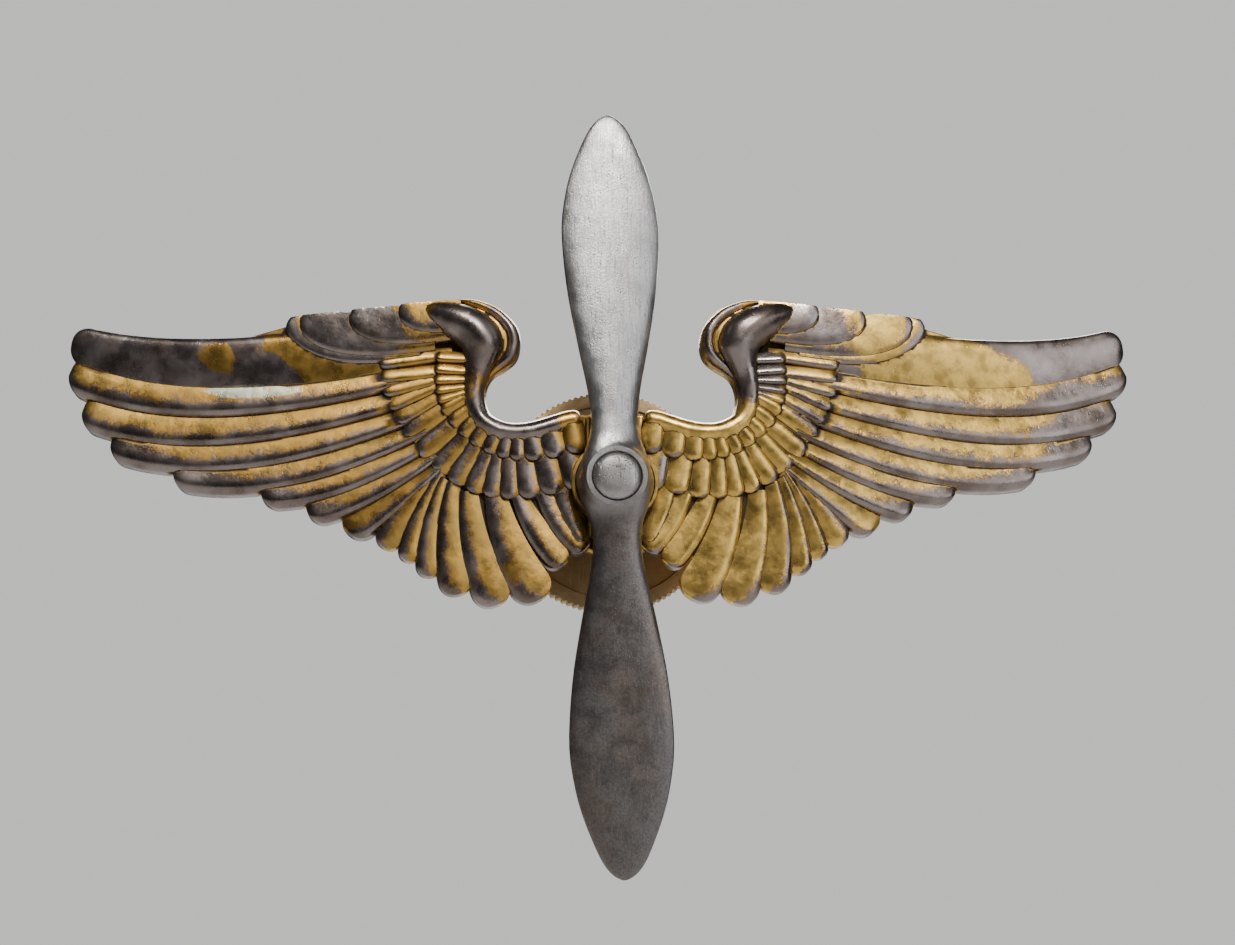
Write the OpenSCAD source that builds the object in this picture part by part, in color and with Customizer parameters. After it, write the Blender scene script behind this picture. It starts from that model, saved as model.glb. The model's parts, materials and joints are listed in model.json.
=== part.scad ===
/* [Wings] */
// Distance between the two wing tips
wing_span = 76; // [72:0.5:80]
// Thickness of the struck plate behind the feathers
plate_t = 0.9; // [0.7:0.1:1.2]
// Radius that the wings are bowed to, so that they follow a cap
bow_r = 360; // [300:10:500]
// Height of the flight feathers above the plate
flight_h = 0.3; // [0.2:0.05:0.5]
// Height of the long coverts above the plate
covert_h = 0.65; // [0.5:0.05:0.9]
// Height of the short coverts above the plate
short_h = 0.95; // [0.8:0.05:1.2]
// Height of the arm above the plate
arm_h = 1.5; // [1.2:0.1:1.8]
// Height of the wrist knuckle above the plate
knuckle_h = 1.9; // [1.5:0.1:2.2]
// Width of the groove between two feathers
groove_w = 0.22; // [0.15:0.01:0.3]

/* [Propeller] */
// Length of the propeller from tip to tip
prop_len = 54; // [50:0.5:56]
// Widest part of a blade
blade_w = 7; // [6:0.1:7.5]
// Twist of a blade at its neck, in degrees
blade_twist = 12; // [6:1:16]
// Radius of the hub where it meets the wings
hub_base_r = 2.75; // [2.6:0.05:2.9]
// Radius of the front of the hub
hub_face_r = 2.3; // [2.1:0.05:2.4]
// Height of the hub
hub_h = 2.3; // [2:0.1:2.6]

/* [Screw post] */
// Radius of the plain shank, and over the crests of the thread
post_r = 2.08; // [2.05:0.01:2.1]
// Radius of the plain cylinder that stands for the thread
thread_r = 1.82; // [1.78:0.01:1.85]
// Length of the plain shank behind the collar
shank_len = 2; // [1.6:0.1:2.2]
// Length of the post behind the collar
post_len = 9.5; // [9:0.5:11]
// Radius of the tenon that passes through the wings and the propeller
tenon_r = 1.2; // [1:0.05:1.3]
// Radius of the peened head
head_r = 1.65; // [1.5:0.05:1.75]
// Radius of the spigot that is soldered in the collar
spigot_r = 1.6; // [1.5:0.05:1.7]

/* [Collar and prongs] */
// Radius of the collar that seats on the cap
collar_r = 4.75; // [4.5:0.05:5]
// Thickness of the collar
collar_t = 0.8; // [0.6:0.1:1]
// Distance from the post to each prong
prong_x = 18; // [16:0.5:20]
// Height of the prongs above the post
prong_z = 5.5; // [5:0.1:6]
// Radius of a prong
prong_r = 0.55; // [0.5:0.05:0.6]
// Length of the straight part of a prong
prong_len = 3; // [2.5:0.1:3.5]

/* [Nut] */
// Radius over the knurl of the nut
nut_r = 8.1; // [7.8:0.1:8.4]
// Thickness of the nut's disc
nut_t = 1.3; // [1.2:0.05:1.5]
// Gap between the collar and the nut's disc
nut_gap = 3; // [3:0.1:3.2]
// Number of teeth in the knurl
knurl_n = 112; // [96:4:128]
// Depth of the knurl
knurl_d = 0.16; // [0.12:0.01:0.2]
// Length of the bushing behind the disc
bushing_len = 2; // [1.6:0.1:2.4]

/* [Hidden] */
fine = 96;

// Depths run along Y: the collar seats on the cap at y = 0 and the front of the badge is at -Y
plate_back = -collar_t;
plate_front = plate_back - plate_t;
seat_h = 0.8;
seat_y = plate_front - seat_h;
hub_y = seat_y - hub_h;
blade_y = seat_y - 0.95;
span_scale = wing_span / 76;
// Gap between two pieces that fit inside each other
fit = 0.05;
// A depth that is clear of the badge in front, and one that is clear of it behind
clear_front = -9;
clear_back = 14;

// The rim round the propeller's seat, and the neck that lies in it on each side of the hub
rim_w = 0.45;
rim_h = 0.55;
neck_w = blade_w * 0.48;
neck_reach = 4.7;

// The land that each prong is soldered to, and the prong's pad and point
land_r = 1.6;
prong_land = plate_back + prong_x * prong_x / (2 * bow_r) + 0.15;
pad_r = 1.3;
pad_t = 0.4;
prong_point = 1.2;

// The post's peened head, the groove between its shank and its thread, and its tip
head_seat = 0.6;
head_dome = 0.25;
relief_w = 0.4;
relief_r = post_r - 0.5;
tip_chamfer = 0.5;
sink_d = 0.4;

// The disc's bore, the seat of the bushing's lip in it, and its dish
disc_bore = 3;
lip_r = 3.35;
lip_seat = 0.35;
dish_w = 1.1;
dish_d = 0.2;
flange_w = 0.6;
flange_chamfer = 0.3;
// How far the nut runs in from where it stands, with the shank inside the front of the bushing
nut_run = 2.6;

// Flight feathers from the leading edge to the root: root, bend and centre of the round tip, then
// the half width at each of them
FLIGHT = [
  [[15.0, 10.2], [29.0, 8.0], [36.6, 10.5], [2.0, 1.9, 1.35]],
  [[14.5, 7.9], [29.0, 4.6], [36.9, 8.1], [0.8, 1.3, 1.15]],
  [[14.0, 6.5], [28.0, 2.4], [35.9, 5.4], [0.7, 1.15, 1.1]],
  [[13.6, 5.3], [26.0, 0.7], [33.8, 3.1], [0.65, 1.2, 1.1]],
  [[13.2, 4.1], [22.5, -0.2], [29.4, 1.0], [0.6, 1.15, 1.1]],
  [[12.8, 3.1], [19.0, -0.2], [23.4, -0.4], [0.5, 1.2, 1.0]],
  [[12.4, 2.2], [16.8, -0.6], [20.2, -1.6], [0.45, 1.05, 0.95]],
  [[12.0, 1.5], [15.0, -0.8], [17.5, -2.7], [0.4, 0.95, 1.0]],
  [[12.0, 1.4], [14.2, -0.9], [15.7, -3.4], [0.4, 0.6, 0.85]],
  [[12.0, 0.9], [13.7, -1.8], [14.3, -4.5], [0.35, 0.5, 0.65]],
  [[11.8, 0.5], [13.0, -2.5], [13.0, -5.5], [0.4, 0.6, 0.75]],
  [[11.2, 0.2], [12.0, -3.6], [11.2, -6.6], [0.45, 0.9, 1.0]],
  [[10.2, -0.4], [10.2, -4.2], [8.8, -7.3], [0.6, 0.95, 1.2]],
  [[8.4, -0.6], [7.9, -4.0], [6.1, -7.0], [0.7, 1.1, 1.35]],
  [[6.8, -0.6], [5.8, -3.2], [4.2, -5.1], [0.5, 0.8, 0.8]],
  [[5.0, -0.4], [4.2, -2.5], [2.7, -4.1], [0.6, 0.9, 0.8]],
];

// Leaves of the small wing above the flight feathers, laid out as the feathers are, lowest first
LEAVES = [
  [[12.5, 9.9], [19.2, 9.2], [22.1, 11.6], [0.6, 1.0, 0.6]],
  [[12.0, 10.9], [18.6, 10.9], [22.0, 12.2], [0.7, 1.2, 0.6]],
  [[11.5, 11.6], [16.2, 11.5], [18.3, 12.3], [0.8, 1.0, 0.6]],
  [[11.0, 12.2], [13.8, 12.0], [15.2, 12.6], [0.8, 0.9, 0.6]],
];
LEAF_STEP = 0.12;

// Upper edge of a wing from the hub, round the inside of the arm and the knuckle, to the wing tip
UPPER_EDGE = [
  [2.6, 5.2], [4.4, 4.9], [5.5, 4.5], [6.7, 4.4], [7.8, 4.6], [8.6, 5.3], [8.85, 6.2], [8.75, 7.2],
  [8.3, 8.0], [7.5, 8.5], [6.7, 9.2], [6.4, 10.2], [6.6, 11.4], [7.4, 12.6], [8.6, 13.4], [10.0, 13.65],
  [12.8, 13.6], [14.9, 13.3], [16.6, 13.0], [19.1, 12.95], [21.2, 13.0], [22.6, 12.8], [24.7, 11.8],
  [27.5, 11.3], [30.3, 11.0], [33.1, 11.0], [35.2, 11.5], [36.6, 11.85],
];

// Guide curves that the tips and the roots of the two rows of coverts lie on, from wrist to hub
LONG_TIPS = [[16.2, 8.6], [15.8, 6.5], [14.6, 4.1], [12.3, 1.2], [9.4, -0.5], [6.6, -0.8], [3.6, 0.0]];
LONG_ROOTS = [[11.2, 9.4], [11.2, 6.8], [10.6, 5.0], [9.2, 3.5], [7.4, 2.9], [5.2, 3.0], [3.2, 3.6]];
SHORT_TIPS = [[12.0, 9.2], [12.2, 7.4], [11.8, 5.6], [10.4, 3.7], [8.4, 2.2], [6.2, 1.8], [3.6, 2.5]];
SHORT_ROOTS = [[10.0, 9.2], [10.1, 7.6], [10.0, 5.7], [9.2, 4.4], [7.6, 3.7], [5.4, 3.8], [3.4, 4.2]];
LONG_N = 14;
SHORT_N = 13;

// Middle of the arm from the wrist down and across to the hub
ARM = [[9.2, 9.6], [9.8, 8.0], [9.95, 6.2], [9.5, 4.9], [8.6, 4.0], [7.2, 3.6], [5.0, 3.9], [2.2, 4.6]];
ARM_HALF_W = 0.82;

// Centre and radius of the knuckle at the wrist, and the tail that runs out from it, laid out as a feather
KNUCKLE = [9.0, 11.0];
KNUCKLE_R = 2.5;
KNUCKLE_TAIL = [[9.6, 11.4], [11.5, 12.0], [13.0, 12.4], [1.9, 1.6, 1.05]];

// Half width and half thickness of a blade at steps along its length, as fractions of the blade
BLADE = [
  [0.09, 0.47, 0.85], [0.16, 0.48, 0.85], [0.26, 0.57, 0.80], [0.37, 0.74, 0.72], [0.48, 0.89, 0.64],
  [0.59, 0.98, 0.56], [0.69, 1.00, 0.50], [0.78, 0.90, 0.45], [0.87, 0.70, 0.40], [0.94, 0.49, 0.34],
  [0.985, 0.24, 0.26], [1.0, 0.05, 0.12],
];
BLADE_SIDES = 16;
TWIST_FADE = 0.8;

function bend(a, b, c, t) = (1 - t) * (1 - t) * a + 2 * t * (1 - t) * b + t * t * c;
function slope(a, b, c, t) = (1 - t) * (b - a) + t * (c - b);
function across(v) = [-v.y, v.x] / norm(v);
function side(f, t, s) =
  bend(f[0], f[1], f[2], t) + s * bend(f[3][0], f[3][1], f[3][2], t) * across(slope(f[0], f[1], f[2], t));
function along(points, t) =
  let (n = len(points) - 1, i = min(n - 1, floor(t * n)), u = t * n - i)
  (1 - u) * points[i] + u * points[i + 1];

// Points round a rounded tip, from one shoulder to the other
function tip_arc(centre, r, heading, spread, steps = 4) =
  [for (k = [0 : steps]) let (a = heading + spread * (1 - 2 * k / steps)) centre + r * [cos(a), sin(a)]];
function heading(v) = atan2(v.y, v.x);
function mirrored(points) = [for (i = [len(points) - 1 : -1 : 0]) [-points[i].x, points[i].y]];
function widened(points) = [for (p = points) [p.x * span_scale, p.y]];

// One feather: two curved sides and a round tip
module feather_2d(f) {
  steps = 5;
  polygon([
    for (i = [0 : steps]) side(f, i / steps, 1),
    each tip_arc(f[2], f[3][2], heading(slope(f[0], f[1], f[2], 1)), 70),
    for (i = [steps : -1 : 0]) side(f, i / steps, -1),
  ]);
}

// The groove along the lower side of a feather, from the coverts to near its tip
module groove_2d(f) {
  steps = 6;
  start = 0.3;
  polygon([
    for (s = [0, 1], k = [0 : steps])
    let (t = start + (1 - start) * (s > 0 ? steps - k : k) / steps)
    side(f, t, -1) + s * groove_w * across(slope(f[0], f[1], f[2], t))
  ]);
}

// A row of coverts: scalloped tips that fan between two guide curves
module covert_row_2d(roots, tips, n) {
  polygon([
    for (i = [0 : n - 1])
    let (t = i / (n - 1), step = norm(along(tips, min(1, t + 0.5 / n)) - along(tips, max(0, t - 0.5 / n))))
    each tip_arc(along(tips, t), 0.55 * step, heading(along(tips, t) - along(roots, t)), 60),
    for (i = [len(roots) - 1 : -1 : 0]) roots[i],
  ]);
}

// The arm: a band of even width along its middle line
module arm_2d() {
  n = len(ARM) - 1;
  polygon([
    for (s = [1, -1], k = [0 : n])
    let (i = s > 0 ? k : n - k, before = ARM[max(0, i - 1)], after = ARM[min(n, i + 1)])
    ARM[i] + s * ARM_HALF_W * across(after - before)
  ]);
}

// The seat of the propeller: the hub's circle and the two necks
module seat_2d(grow) {
  circle(r = hub_base_r + grow, $fn = fine);
  square([neck_w + 2 * grow, 2 * neck_reach], center = true);
}

// Both wings as one outline: down the right wing's feather tips, up the left wing's, and over the top
module wings_2d() {
  tips = [
    for (f = FLIGHT) each tip_arc(f[2], f[3][2], heading(slope(f[0], f[1], f[2], 1)), 62)
  ];
  right = widened(concat(UPPER_EDGE, tips));
  polygon(concat(right, mirrored(right)));
}

module both_wings() {
  for (s = [0, 1]) mirror([s, 0]) scale([span_scale, 1]) children();
}

// A slice of the bowed plate: an outline cut out of the sheet between two depths
module bowed(back, front) {
  reach = 60;
  round_bow = 720;
  intersection() {
    translate([0, clear_back, 0]) rotate([90, 0, 0]) linear_extrude(clear_back - clear_front) children();
    translate([0, bow_r, -reach / 2]) difference() {
      cylinder(r = bow_r - front, h = reach, $fn = round_bow);
      translate([0, 0, -1]) cylinder(r = bow_r - back, h = reach + 2, $fn = round_bow);
    }
  }
}

// A bar along Y between two depths
module depth_bar(r, front, back) {
  translate([0, back, 0]) rotate([90, 0, 0]) cylinder(r = r, h = back - front, $fn = fine);
}

// The struck wings: plate, feathers, coverts, arm and knuckle, with the propeller's seat
module wing_plate() {
  sink = 0.3;
  root = plate_front + sink;
  color([0.78, 0.62, 0.34]) difference() {
    union() {
      bowed(plate_back, plate_front - flight_h) wings_2d();
      for (i = [0 : len(LEAVES) - 1])
        bowed(root, plate_front - covert_h - i * LEAF_STEP) both_wings() feather_2d(LEAVES[i]);
      bowed(root, plate_front - covert_h) both_wings() covert_row_2d(LONG_ROOTS, LONG_TIPS, LONG_N);
      bowed(root, plate_front - short_h) both_wings() covert_row_2d(SHORT_ROOTS, SHORT_TIPS, SHORT_N);
      bowed(root, plate_front - arm_h) both_wings() arm_2d();
      bowed(root, plate_front - knuckle_h) both_wings() {
        translate(KNUCKLE) circle(r = KNUCKLE_R, $fn = fine);
        feather_2d(KNUCKLE_TAIL);
      }
      translate([0, root, 0]) rotate([90, 0, 0]) linear_extrude(root - seat_y + rim_h) seat_2d(fit + rim_w);
      for (s = [-1, 1]) translate([s * prong_x, 0, prong_z]) depth_bar(land_r, root, prong_land);
    }
    bowed(plate_front, plate_front - 1) both_wings() for (f = FLIGHT) groove_2d(f);
    translate([0, seat_y, 0]) rotate([90, 0, 0]) linear_extrude(seat_y - clear_front) seat_2d(fit);
    depth_bar(collar_r + 0.4, plate_back, clear_back);
    depth_bar(tenon_r, clear_front, clear_back);
  }
}

// One blade as rings of points, twisted and swelling towards its middle
module blade() {
  reach = prop_len / 2;
  rings = [
    for (b = BLADE) [
      for (k = [0 : BLADE_SIDES - 1])
      let (a = 360 * k / BLADE_SIDES, u = cos(a) * b[1] * blade_w / 2, v = sin(a) * b[2],
        turn = blade_twist * (1 - TWIST_FADE * b[0]))
      [u * cos(turn) - v * sin(turn), blade_y + u * sin(turn) + v * cos(turn), b[0] * reach]
    ]
  ];
  n = len(rings);
  m = BLADE_SIDES;
  polyhedron(
    points = [for (ring = rings) each ring],
    faces = [
      [for (k = [0 : m - 1]) k],
      for (i = [0 : n - 2], k = [0 : m - 1])
      each [
        [i * m + k, (i + 1) * m + k, (i + 1) * m + (k + 1) % m],
        [i * m + k, (i + 1) * m + (k + 1) % m, i * m + (k + 1) % m]
      ],
      [for (k = [m - 1 : -1 : 0]) (n - 1) * m + k],
    ]
  );
}

// The two-bladed propeller with its tapered hub
module propeller() {
  color([0.66, 0.65, 0.64]) difference() {
    union() {
      blade();
      rotate([0, 180, 0]) blade();
      translate([0, seat_y, 0]) rotate([90, 0, 0])
        cylinder(r1 = hub_base_r, r2 = hub_face_r, h = hub_h, $fn = fine);
    }
    translate([0, seat_y, 0]) rotate([-90, 0, 0]) linear_extrude(clear_back) square(4 * neck_w, center = true);
    depth_bar(tenon_r, clear_front, clear_back);
    depth_bar(head_r, clear_front, hub_y + head_seat);
  }
}

// The post: peened head, tenon, spigot in the collar, plain shank, relief and thread
module screw_post() {
  color([0.7, 0.66, 0.58]) rotate([-90, 0, 0]) rotate_extrude($fn = fine) polygon([
    [0, hub_y - head_dome],
    [head_r - 0.35, hub_y - head_dome + fit],
    [head_r, hub_y + fit],
    [head_r, hub_y + head_seat],
    [tenon_r, hub_y + head_seat],
    [tenon_r, plate_back],
    [spigot_r, plate_back],
    [spigot_r, 0],
    [post_r, 0],
    [post_r, shank_len],
    [relief_r, shank_len],
    [relief_r, shank_len + relief_w],
    [thread_r, shank_len + relief_w],
    [thread_r, post_len - tip_chamfer],
    [thread_r - tip_chamfer, post_len],
    [0, post_len],
  ]);
}

// The collar soldered round the spigot, countersunk at the back for the solder
module post_collar() {
  color([0.74, 0.6, 0.36]) rotate([-90, 0, 0]) rotate_extrude($fn = fine) polygon([
    [spigot_r, plate_back],
    [collar_r, plate_back],
    [collar_r, 0],
    [post_r + 2 * fit, 0],
    [spigot_r, -sink_d],
  ]);
}

// One pointed prong on its round pad
module prong() {
  point_r = 0.12;
  translate([0, prong_land, prong_z]) rotate([-90, 0, 0]) rotate_extrude($fn = fine) polygon([
    [0, 0],
    [pad_r, 0],
    [pad_r, pad_t],
    [prong_r, pad_t],
    [prong_r, pad_t + prong_len],
    [point_r, pad_t + prong_len + prong_point],
    [0, pad_t + prong_len + prong_point],
  ]);
}

module left_prong() {
  color([0.74, 0.6, 0.36]) translate([-prong_x, 0, 0]) prong();
}

module right_prong() {
  color([0.74, 0.6, 0.36]) translate([prong_x, 0, 0]) prong();
}

// The knurled disc, dished on its front, with a seat for the bushing's lip
module nut_disc() {
  color([0.72, 0.58, 0.38]) difference() {
    translate([0, nut_gap + nut_t, 0]) rotate([90, 0, 0]) linear_extrude(nut_t) polygon([
      for (i = [0 : knurl_n - 1], s = [0, 1])
      let (a = 360 * (i + s / 2) / knurl_n, r = nut_r - s * knurl_d)
      [r * cos(a), r * sin(a)]
    ]);
    depth_bar(disc_bore, 0, clear_back);
    depth_bar(lip_r + fit, 0, nut_gap + lip_seat);
    depth_bar(nut_r - dish_w, 0, nut_gap + dish_d);
  }
}

// The bushing held in the disc by its lip and its flange: clear of the shank in front, tapped behind
module nut_bushing() {
  front = nut_gap + dish_d;
  back = nut_gap + nut_t + fit;
  tap = shank_len + nut_run + fit;
  flange_r = disc_bore + flange_w;
  color([0.76, 0.62, 0.36]) rotate([-90, 0, 0]) rotate_extrude($fn = fine) polygon([
    [post_r + fit, front],
    [lip_r, front],
    [lip_r, nut_gap + lip_seat - fit],
    [disc_bore - fit, nut_gap + lip_seat - fit],
    [disc_bore - fit, back],
    [flange_r, back],
    [flange_r, back + bushing_len - flange_chamfer],
    [flange_r - flange_chamfer, back + bushing_len],
    [thread_r + fit, back + bushing_len],
    [thread_r + fit, tap],
    [post_r + fit, tap],
  ]);
}

wing_plate();
propeller();
screw_post();
post_collar();
left_prong();
right_prong();
nut_disc();
nut_bushing();
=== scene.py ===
"""A screw-back cap badge: a silver propeller over struck, gilded wings, with its post, prongs and nut.

Every piece is drawn in millimetres in the badge's own frame, where X runs to the viewer's right, Y runs
along the post to the back and Z runs up the propeller, and is scaled to metres when it is finished.
"""

import enum
import json
import logging
import math
from dataclasses import dataclass, replace

import bmesh
import bpy
from mathutils import Matrix, Vector

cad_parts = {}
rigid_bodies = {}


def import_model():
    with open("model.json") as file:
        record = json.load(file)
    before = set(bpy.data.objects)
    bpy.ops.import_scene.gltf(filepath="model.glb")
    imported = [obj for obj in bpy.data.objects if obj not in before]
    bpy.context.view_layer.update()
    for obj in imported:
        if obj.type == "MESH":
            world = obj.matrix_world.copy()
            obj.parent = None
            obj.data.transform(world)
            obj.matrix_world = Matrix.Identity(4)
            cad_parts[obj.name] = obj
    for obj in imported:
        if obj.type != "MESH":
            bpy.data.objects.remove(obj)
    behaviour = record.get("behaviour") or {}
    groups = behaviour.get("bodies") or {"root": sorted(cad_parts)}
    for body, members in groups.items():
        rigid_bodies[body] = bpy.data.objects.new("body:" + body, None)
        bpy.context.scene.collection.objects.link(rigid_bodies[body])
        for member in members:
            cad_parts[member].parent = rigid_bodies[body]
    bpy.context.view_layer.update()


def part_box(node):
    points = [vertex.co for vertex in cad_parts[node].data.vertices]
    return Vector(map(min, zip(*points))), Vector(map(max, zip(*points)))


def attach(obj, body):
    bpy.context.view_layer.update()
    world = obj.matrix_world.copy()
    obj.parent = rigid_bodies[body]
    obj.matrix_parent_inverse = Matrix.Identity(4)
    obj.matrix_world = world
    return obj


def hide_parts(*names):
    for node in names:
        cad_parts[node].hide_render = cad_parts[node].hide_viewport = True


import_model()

MM = 0.001
LOG = logging.getLogger("badge")
Pair = tuple[float, float]
Colour = tuple[float, float, float]
Spots = tuple[tuple[Pair, float, float], ...]

# The line that cuts the feathers off along the wing's upper edge: how fast it falls, and from where.
ROOF_FALL = 0.09
ROOF_START = 10.0


class Lay(enum.Enum):
    """Which side of a feather stands proud of its neighbour, as the place of its ridge across it."""

    LOWER = -0.42
    EVEN = 0.0
    OUTER = 0.22


class Wing(enum.Enum):
    """The two wings, by the sign of their side of the propeller."""

    LEFT = -1
    RIGHT = 1


# ---------------------------------------------------------------- small geometry helpers


def bend(a: Vector, b: Vector, c: Vector, t: float) -> Vector:
    """Return the point at t on the curve from a to c that leans towards b."""
    return a * (1 - t) ** 2 + b * (2 * t * (1 - t)) + c * t**2


def blend(a: float, b: float, t: float) -> float:
    """Return the value a fraction t of the way from a to b."""
    return a + (b - a) * t


def ease(low: float, high: float, value: float) -> float:
    """Return 0 below low, 1 above high, and a smooth rise between them."""
    t = min(1.0, max(0.0, (value - low) / (high - low)))
    return t * t * (3 - 2 * t)


def glide(points: list[Vector], t: float) -> Vector:
    """Return the point at t on a smooth curve through all the points.

    Args:
        points: The points that the curve passes through, in order.
        t: 0 at the first point and 1 at the last.

    Returns:
        The point on the curve.
    """
    last = len(points) - 1
    i = min(last - 1, int(t * last))
    u = t * last - i
    p1, p2 = points[i], points[i + 1]
    p0 = points[i - 1] if i else p1 * 2 - p2
    p3 = points[i + 2] if i + 2 <= last else p2 * 2 - p1
    return 0.5 * (
        p1 * 2 + (p2 - p0) * u + (p0 * 2 - p1 * 5 + p2 * 4 - p3) * u**2 + (p1 * 3 - p0 - p2 * 3 + p3) * u**3
    )


def flat(points: list[Pair]) -> list[Vector]:
    """Return plain pairs as two-part vectors."""
    return [Vector(p) for p in points]


def on_badge(p: Vector, depth: float) -> Vector:
    """Return the point of the badge that lies over the drawing's point p, at a depth."""
    return Vector((p.x, depth, p.y))


# ---------------------------------------------------------------- mesh tools


class Mark(enum.Enum):
    """Names of the values that a mesh carries at its points for its material to read."""

    WORN = "worn"
    GROOVE = "groove"
    # A rubbed stretch on the left wing, lightened as a painted highlight.
    POLISH_SHEEN = "polish_sheen"


def add_marks(bm: bmesh.types.BMesh, worn: float = 0.0) -> list[bmesh.types.BMLayerItem]:
    """Give a mesh a layer for each mark, and all its points the same wear.

    Args:
        bm: The mesh, which has no marks yet.
        worn: How far its gilding is rubbed away.

    Returns:
        The layers, in the order of Mark.
    """
    layers = [bm.verts.layers.float.new(mark.value) for mark in Mark]
    for v in bm.verts:
        v[layers[0]] = worn
    return layers


def close_up(bm: bmesh.types.BMesh, gap: float = 1e-4) -> None:
    """Merge points that touch and turn the faces outwards.

    Args:
        bm: The mesh.
        gap: How near two points are when they touch.
    """
    bmesh.ops.remove_doubles(bm, verts=bm.verts, dist=gap)
    bmesh.ops.dissolve_degenerate(bm, edges=bm.edges, dist=gap)
    bmesh.ops.recalc_face_normals(bm, faces=bm.faces)


def soften(bm: bmesh.types.BMesh, angle: float) -> None:
    """Shade a mesh smooth, apart from its sharp edges.

    Args:
        bm: The mesh.
        angle: The angle in degrees past which an edge is sharp.
    """
    for face in bm.faces:
        face.smooth = True
    for edge in bm.edges:
        edge.smooth = edge.calc_face_angle(math.pi) < math.radians(angle)


def spun(profile: list[Pair], steps: int) -> bmesh.types.BMesh:
    """Turn a profile about the post's axis.

    Args:
        profile: Pairs of radius and depth along Y, from one end of the outline to the other. An outline
            that doesn't start and end on the axis is closed into a ring.
        steps: How many steps make the full turn.

    Returns:
        The turned solid.
    """
    bm = bmesh.new()
    verts = [bm.verts.new((r, y, 0)) for r, y in profile]
    edges = [bm.edges.new(pair) for pair in zip(verts, verts[1:])]
    if profile[0][0] > 0:
        edges.append(bm.edges.new((verts[-1], verts[0])))
    bmesh.ops.spin(
        bm, geom=verts + edges, cent=(0, 0, 0), axis=(0, 1, 0), angle=math.tau, steps=steps, use_merge=True
    )
    close_up(bm)
    return bm


def lofted(rings: list[list[Vector]]) -> bmesh.types.BMesh:
    """Skin a row of rings, each with the same number of points, and close both ends.

    Args:
        rings: The rings, in order along the shape.

    Returns:
        The closed shape.
    """
    bm = bmesh.new()
    count = len(rings[0])
    bmesh.ops.create_circle(bm, segments=count, radius=1)
    edges = list(bm.edges)
    verts = sorted(bm.verts, key=lambda v: v.index)
    for v, p in zip(verts, rings[0]):
        v.co = p
    first = list(edges)
    for ring in rings[1:]:
        made = bmesh.ops.extrude_edge_only(bm, edges=edges)["geom"]
        fresh = {v for v in made if isinstance(v, bmesh.types.BMVert)}
        edges = [e for e in made if isinstance(e, bmesh.types.BMEdge) and set(e.verts) <= fresh]
        stepped = []
        for v in verts:
            stepped.append(next(e.other_vert(v) for e in v.link_edges if e.other_vert(v) in fresh))
        verts = stepped
        for v, p in zip(verts, ring):
            v.co = p
    bmesh.ops.holes_fill(bm, edges=first + edges, sides=count)
    close_up(bm)
    return bm


def extruded(outline: list[Vector], front: float, back: float) -> bmesh.types.BMesh:
    """Make a slab from an outline on the drawing, between two depths.

    Args:
        outline: The outline's points, in order.
        front: Depth of the slab's front.
        back: Depth of the slab's back.

    Returns:
        The slab.
    """
    bm = bmesh.new()
    face = bm.faces.new([bm.verts.new(on_badge(p, front)) for p in outline])
    made = bmesh.ops.extrude_face_region(bm, geom=[face])["geom"]
    moved = [v for v in made if isinstance(v, bmesh.types.BMVert)]
    bmesh.ops.translate(bm, verts=moved, vec=(0, back - front, 0))
    close_up(bm)
    return bm


def as_object(bm: bmesh.types.BMesh, name: str) -> bpy.types.Object:
    """Turn a bmesh into an object of the scene, and free the bmesh.

    Args:
        bm: The shape.
        name: The object's name.

    Returns:
        The object.
    """
    mesh = bpy.data.meshes.new(name)
    bm.to_mesh(mesh)
    bm.free()
    obj = bpy.data.objects.new(name, mesh)
    bpy.context.scene.collection.objects.link(obj)
    return obj


def combined(start: bmesh.types.BMesh, others: list[bmesh.types.BMesh], how: str) -> bmesh.types.BMesh:
    """Join or cut closed shapes into one closed shape, keeping their marks.

    Args:
        start: The first shape.
        others: The shapes that are added to it or cut from it.
        how: UNION or DIFFERENCE.

    Returns:
        The combined shape.
    """
    tools = bpy.data.collections.new("tools")
    bpy.context.scene.collection.children.link(tools)
    base = as_object(start, "start")
    for i, other in enumerate(others):
        tool = as_object(other, f"tool_{i}")
        bpy.context.scene.collection.objects.unlink(tool)
        tools.objects.link(tool)
    cut = base.modifiers.new("combine", "BOOLEAN")
    cut.operation, cut.operand_type, cut.collection, cut.solver = how, "COLLECTION", tools, "MANIFOLD"
    graph = bpy.context.evaluated_depsgraph_get()
    bm = bmesh.new()
    bm.from_mesh(base.evaluated_get(graph).to_mesh())
    for obj in [base, *tools.objects]:
        bpy.data.objects.remove(obj)
    bpy.data.collections.remove(tools)
    return bm


def deliver(
    bm: bmesh.types.BMesh, name: str, node: str, body: str, finish: bpy.types.Material, angle: float = 35
) -> bpy.types.Object:
    """Finish a piece: scale it to metres, shade it, dress it and set it in the frame.

    Args:
        bm: The piece's shape in millimetres.
        name: The piece's name.
        node: The CAD node that it stands for.
        body: The body that it rides on.
        finish: Its material.
        angle: The angle in degrees past which an edge is shaded sharp.

    Returns:
        The finished object.
    """
    soften(bm, angle)
    bmesh.ops.scale(bm, vec=(MM, MM, MM), verts=bm.verts)
    obj = as_object(bm, name)
    obj.data.materials.append(finish)
    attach(obj, body)
    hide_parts(node)
    LOG.info("%s: %d faces, for %s on %s", name, len(obj.data.polygons), node, body)
    return obj


# ---------------------------------------------------------------- shader building blocks


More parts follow.
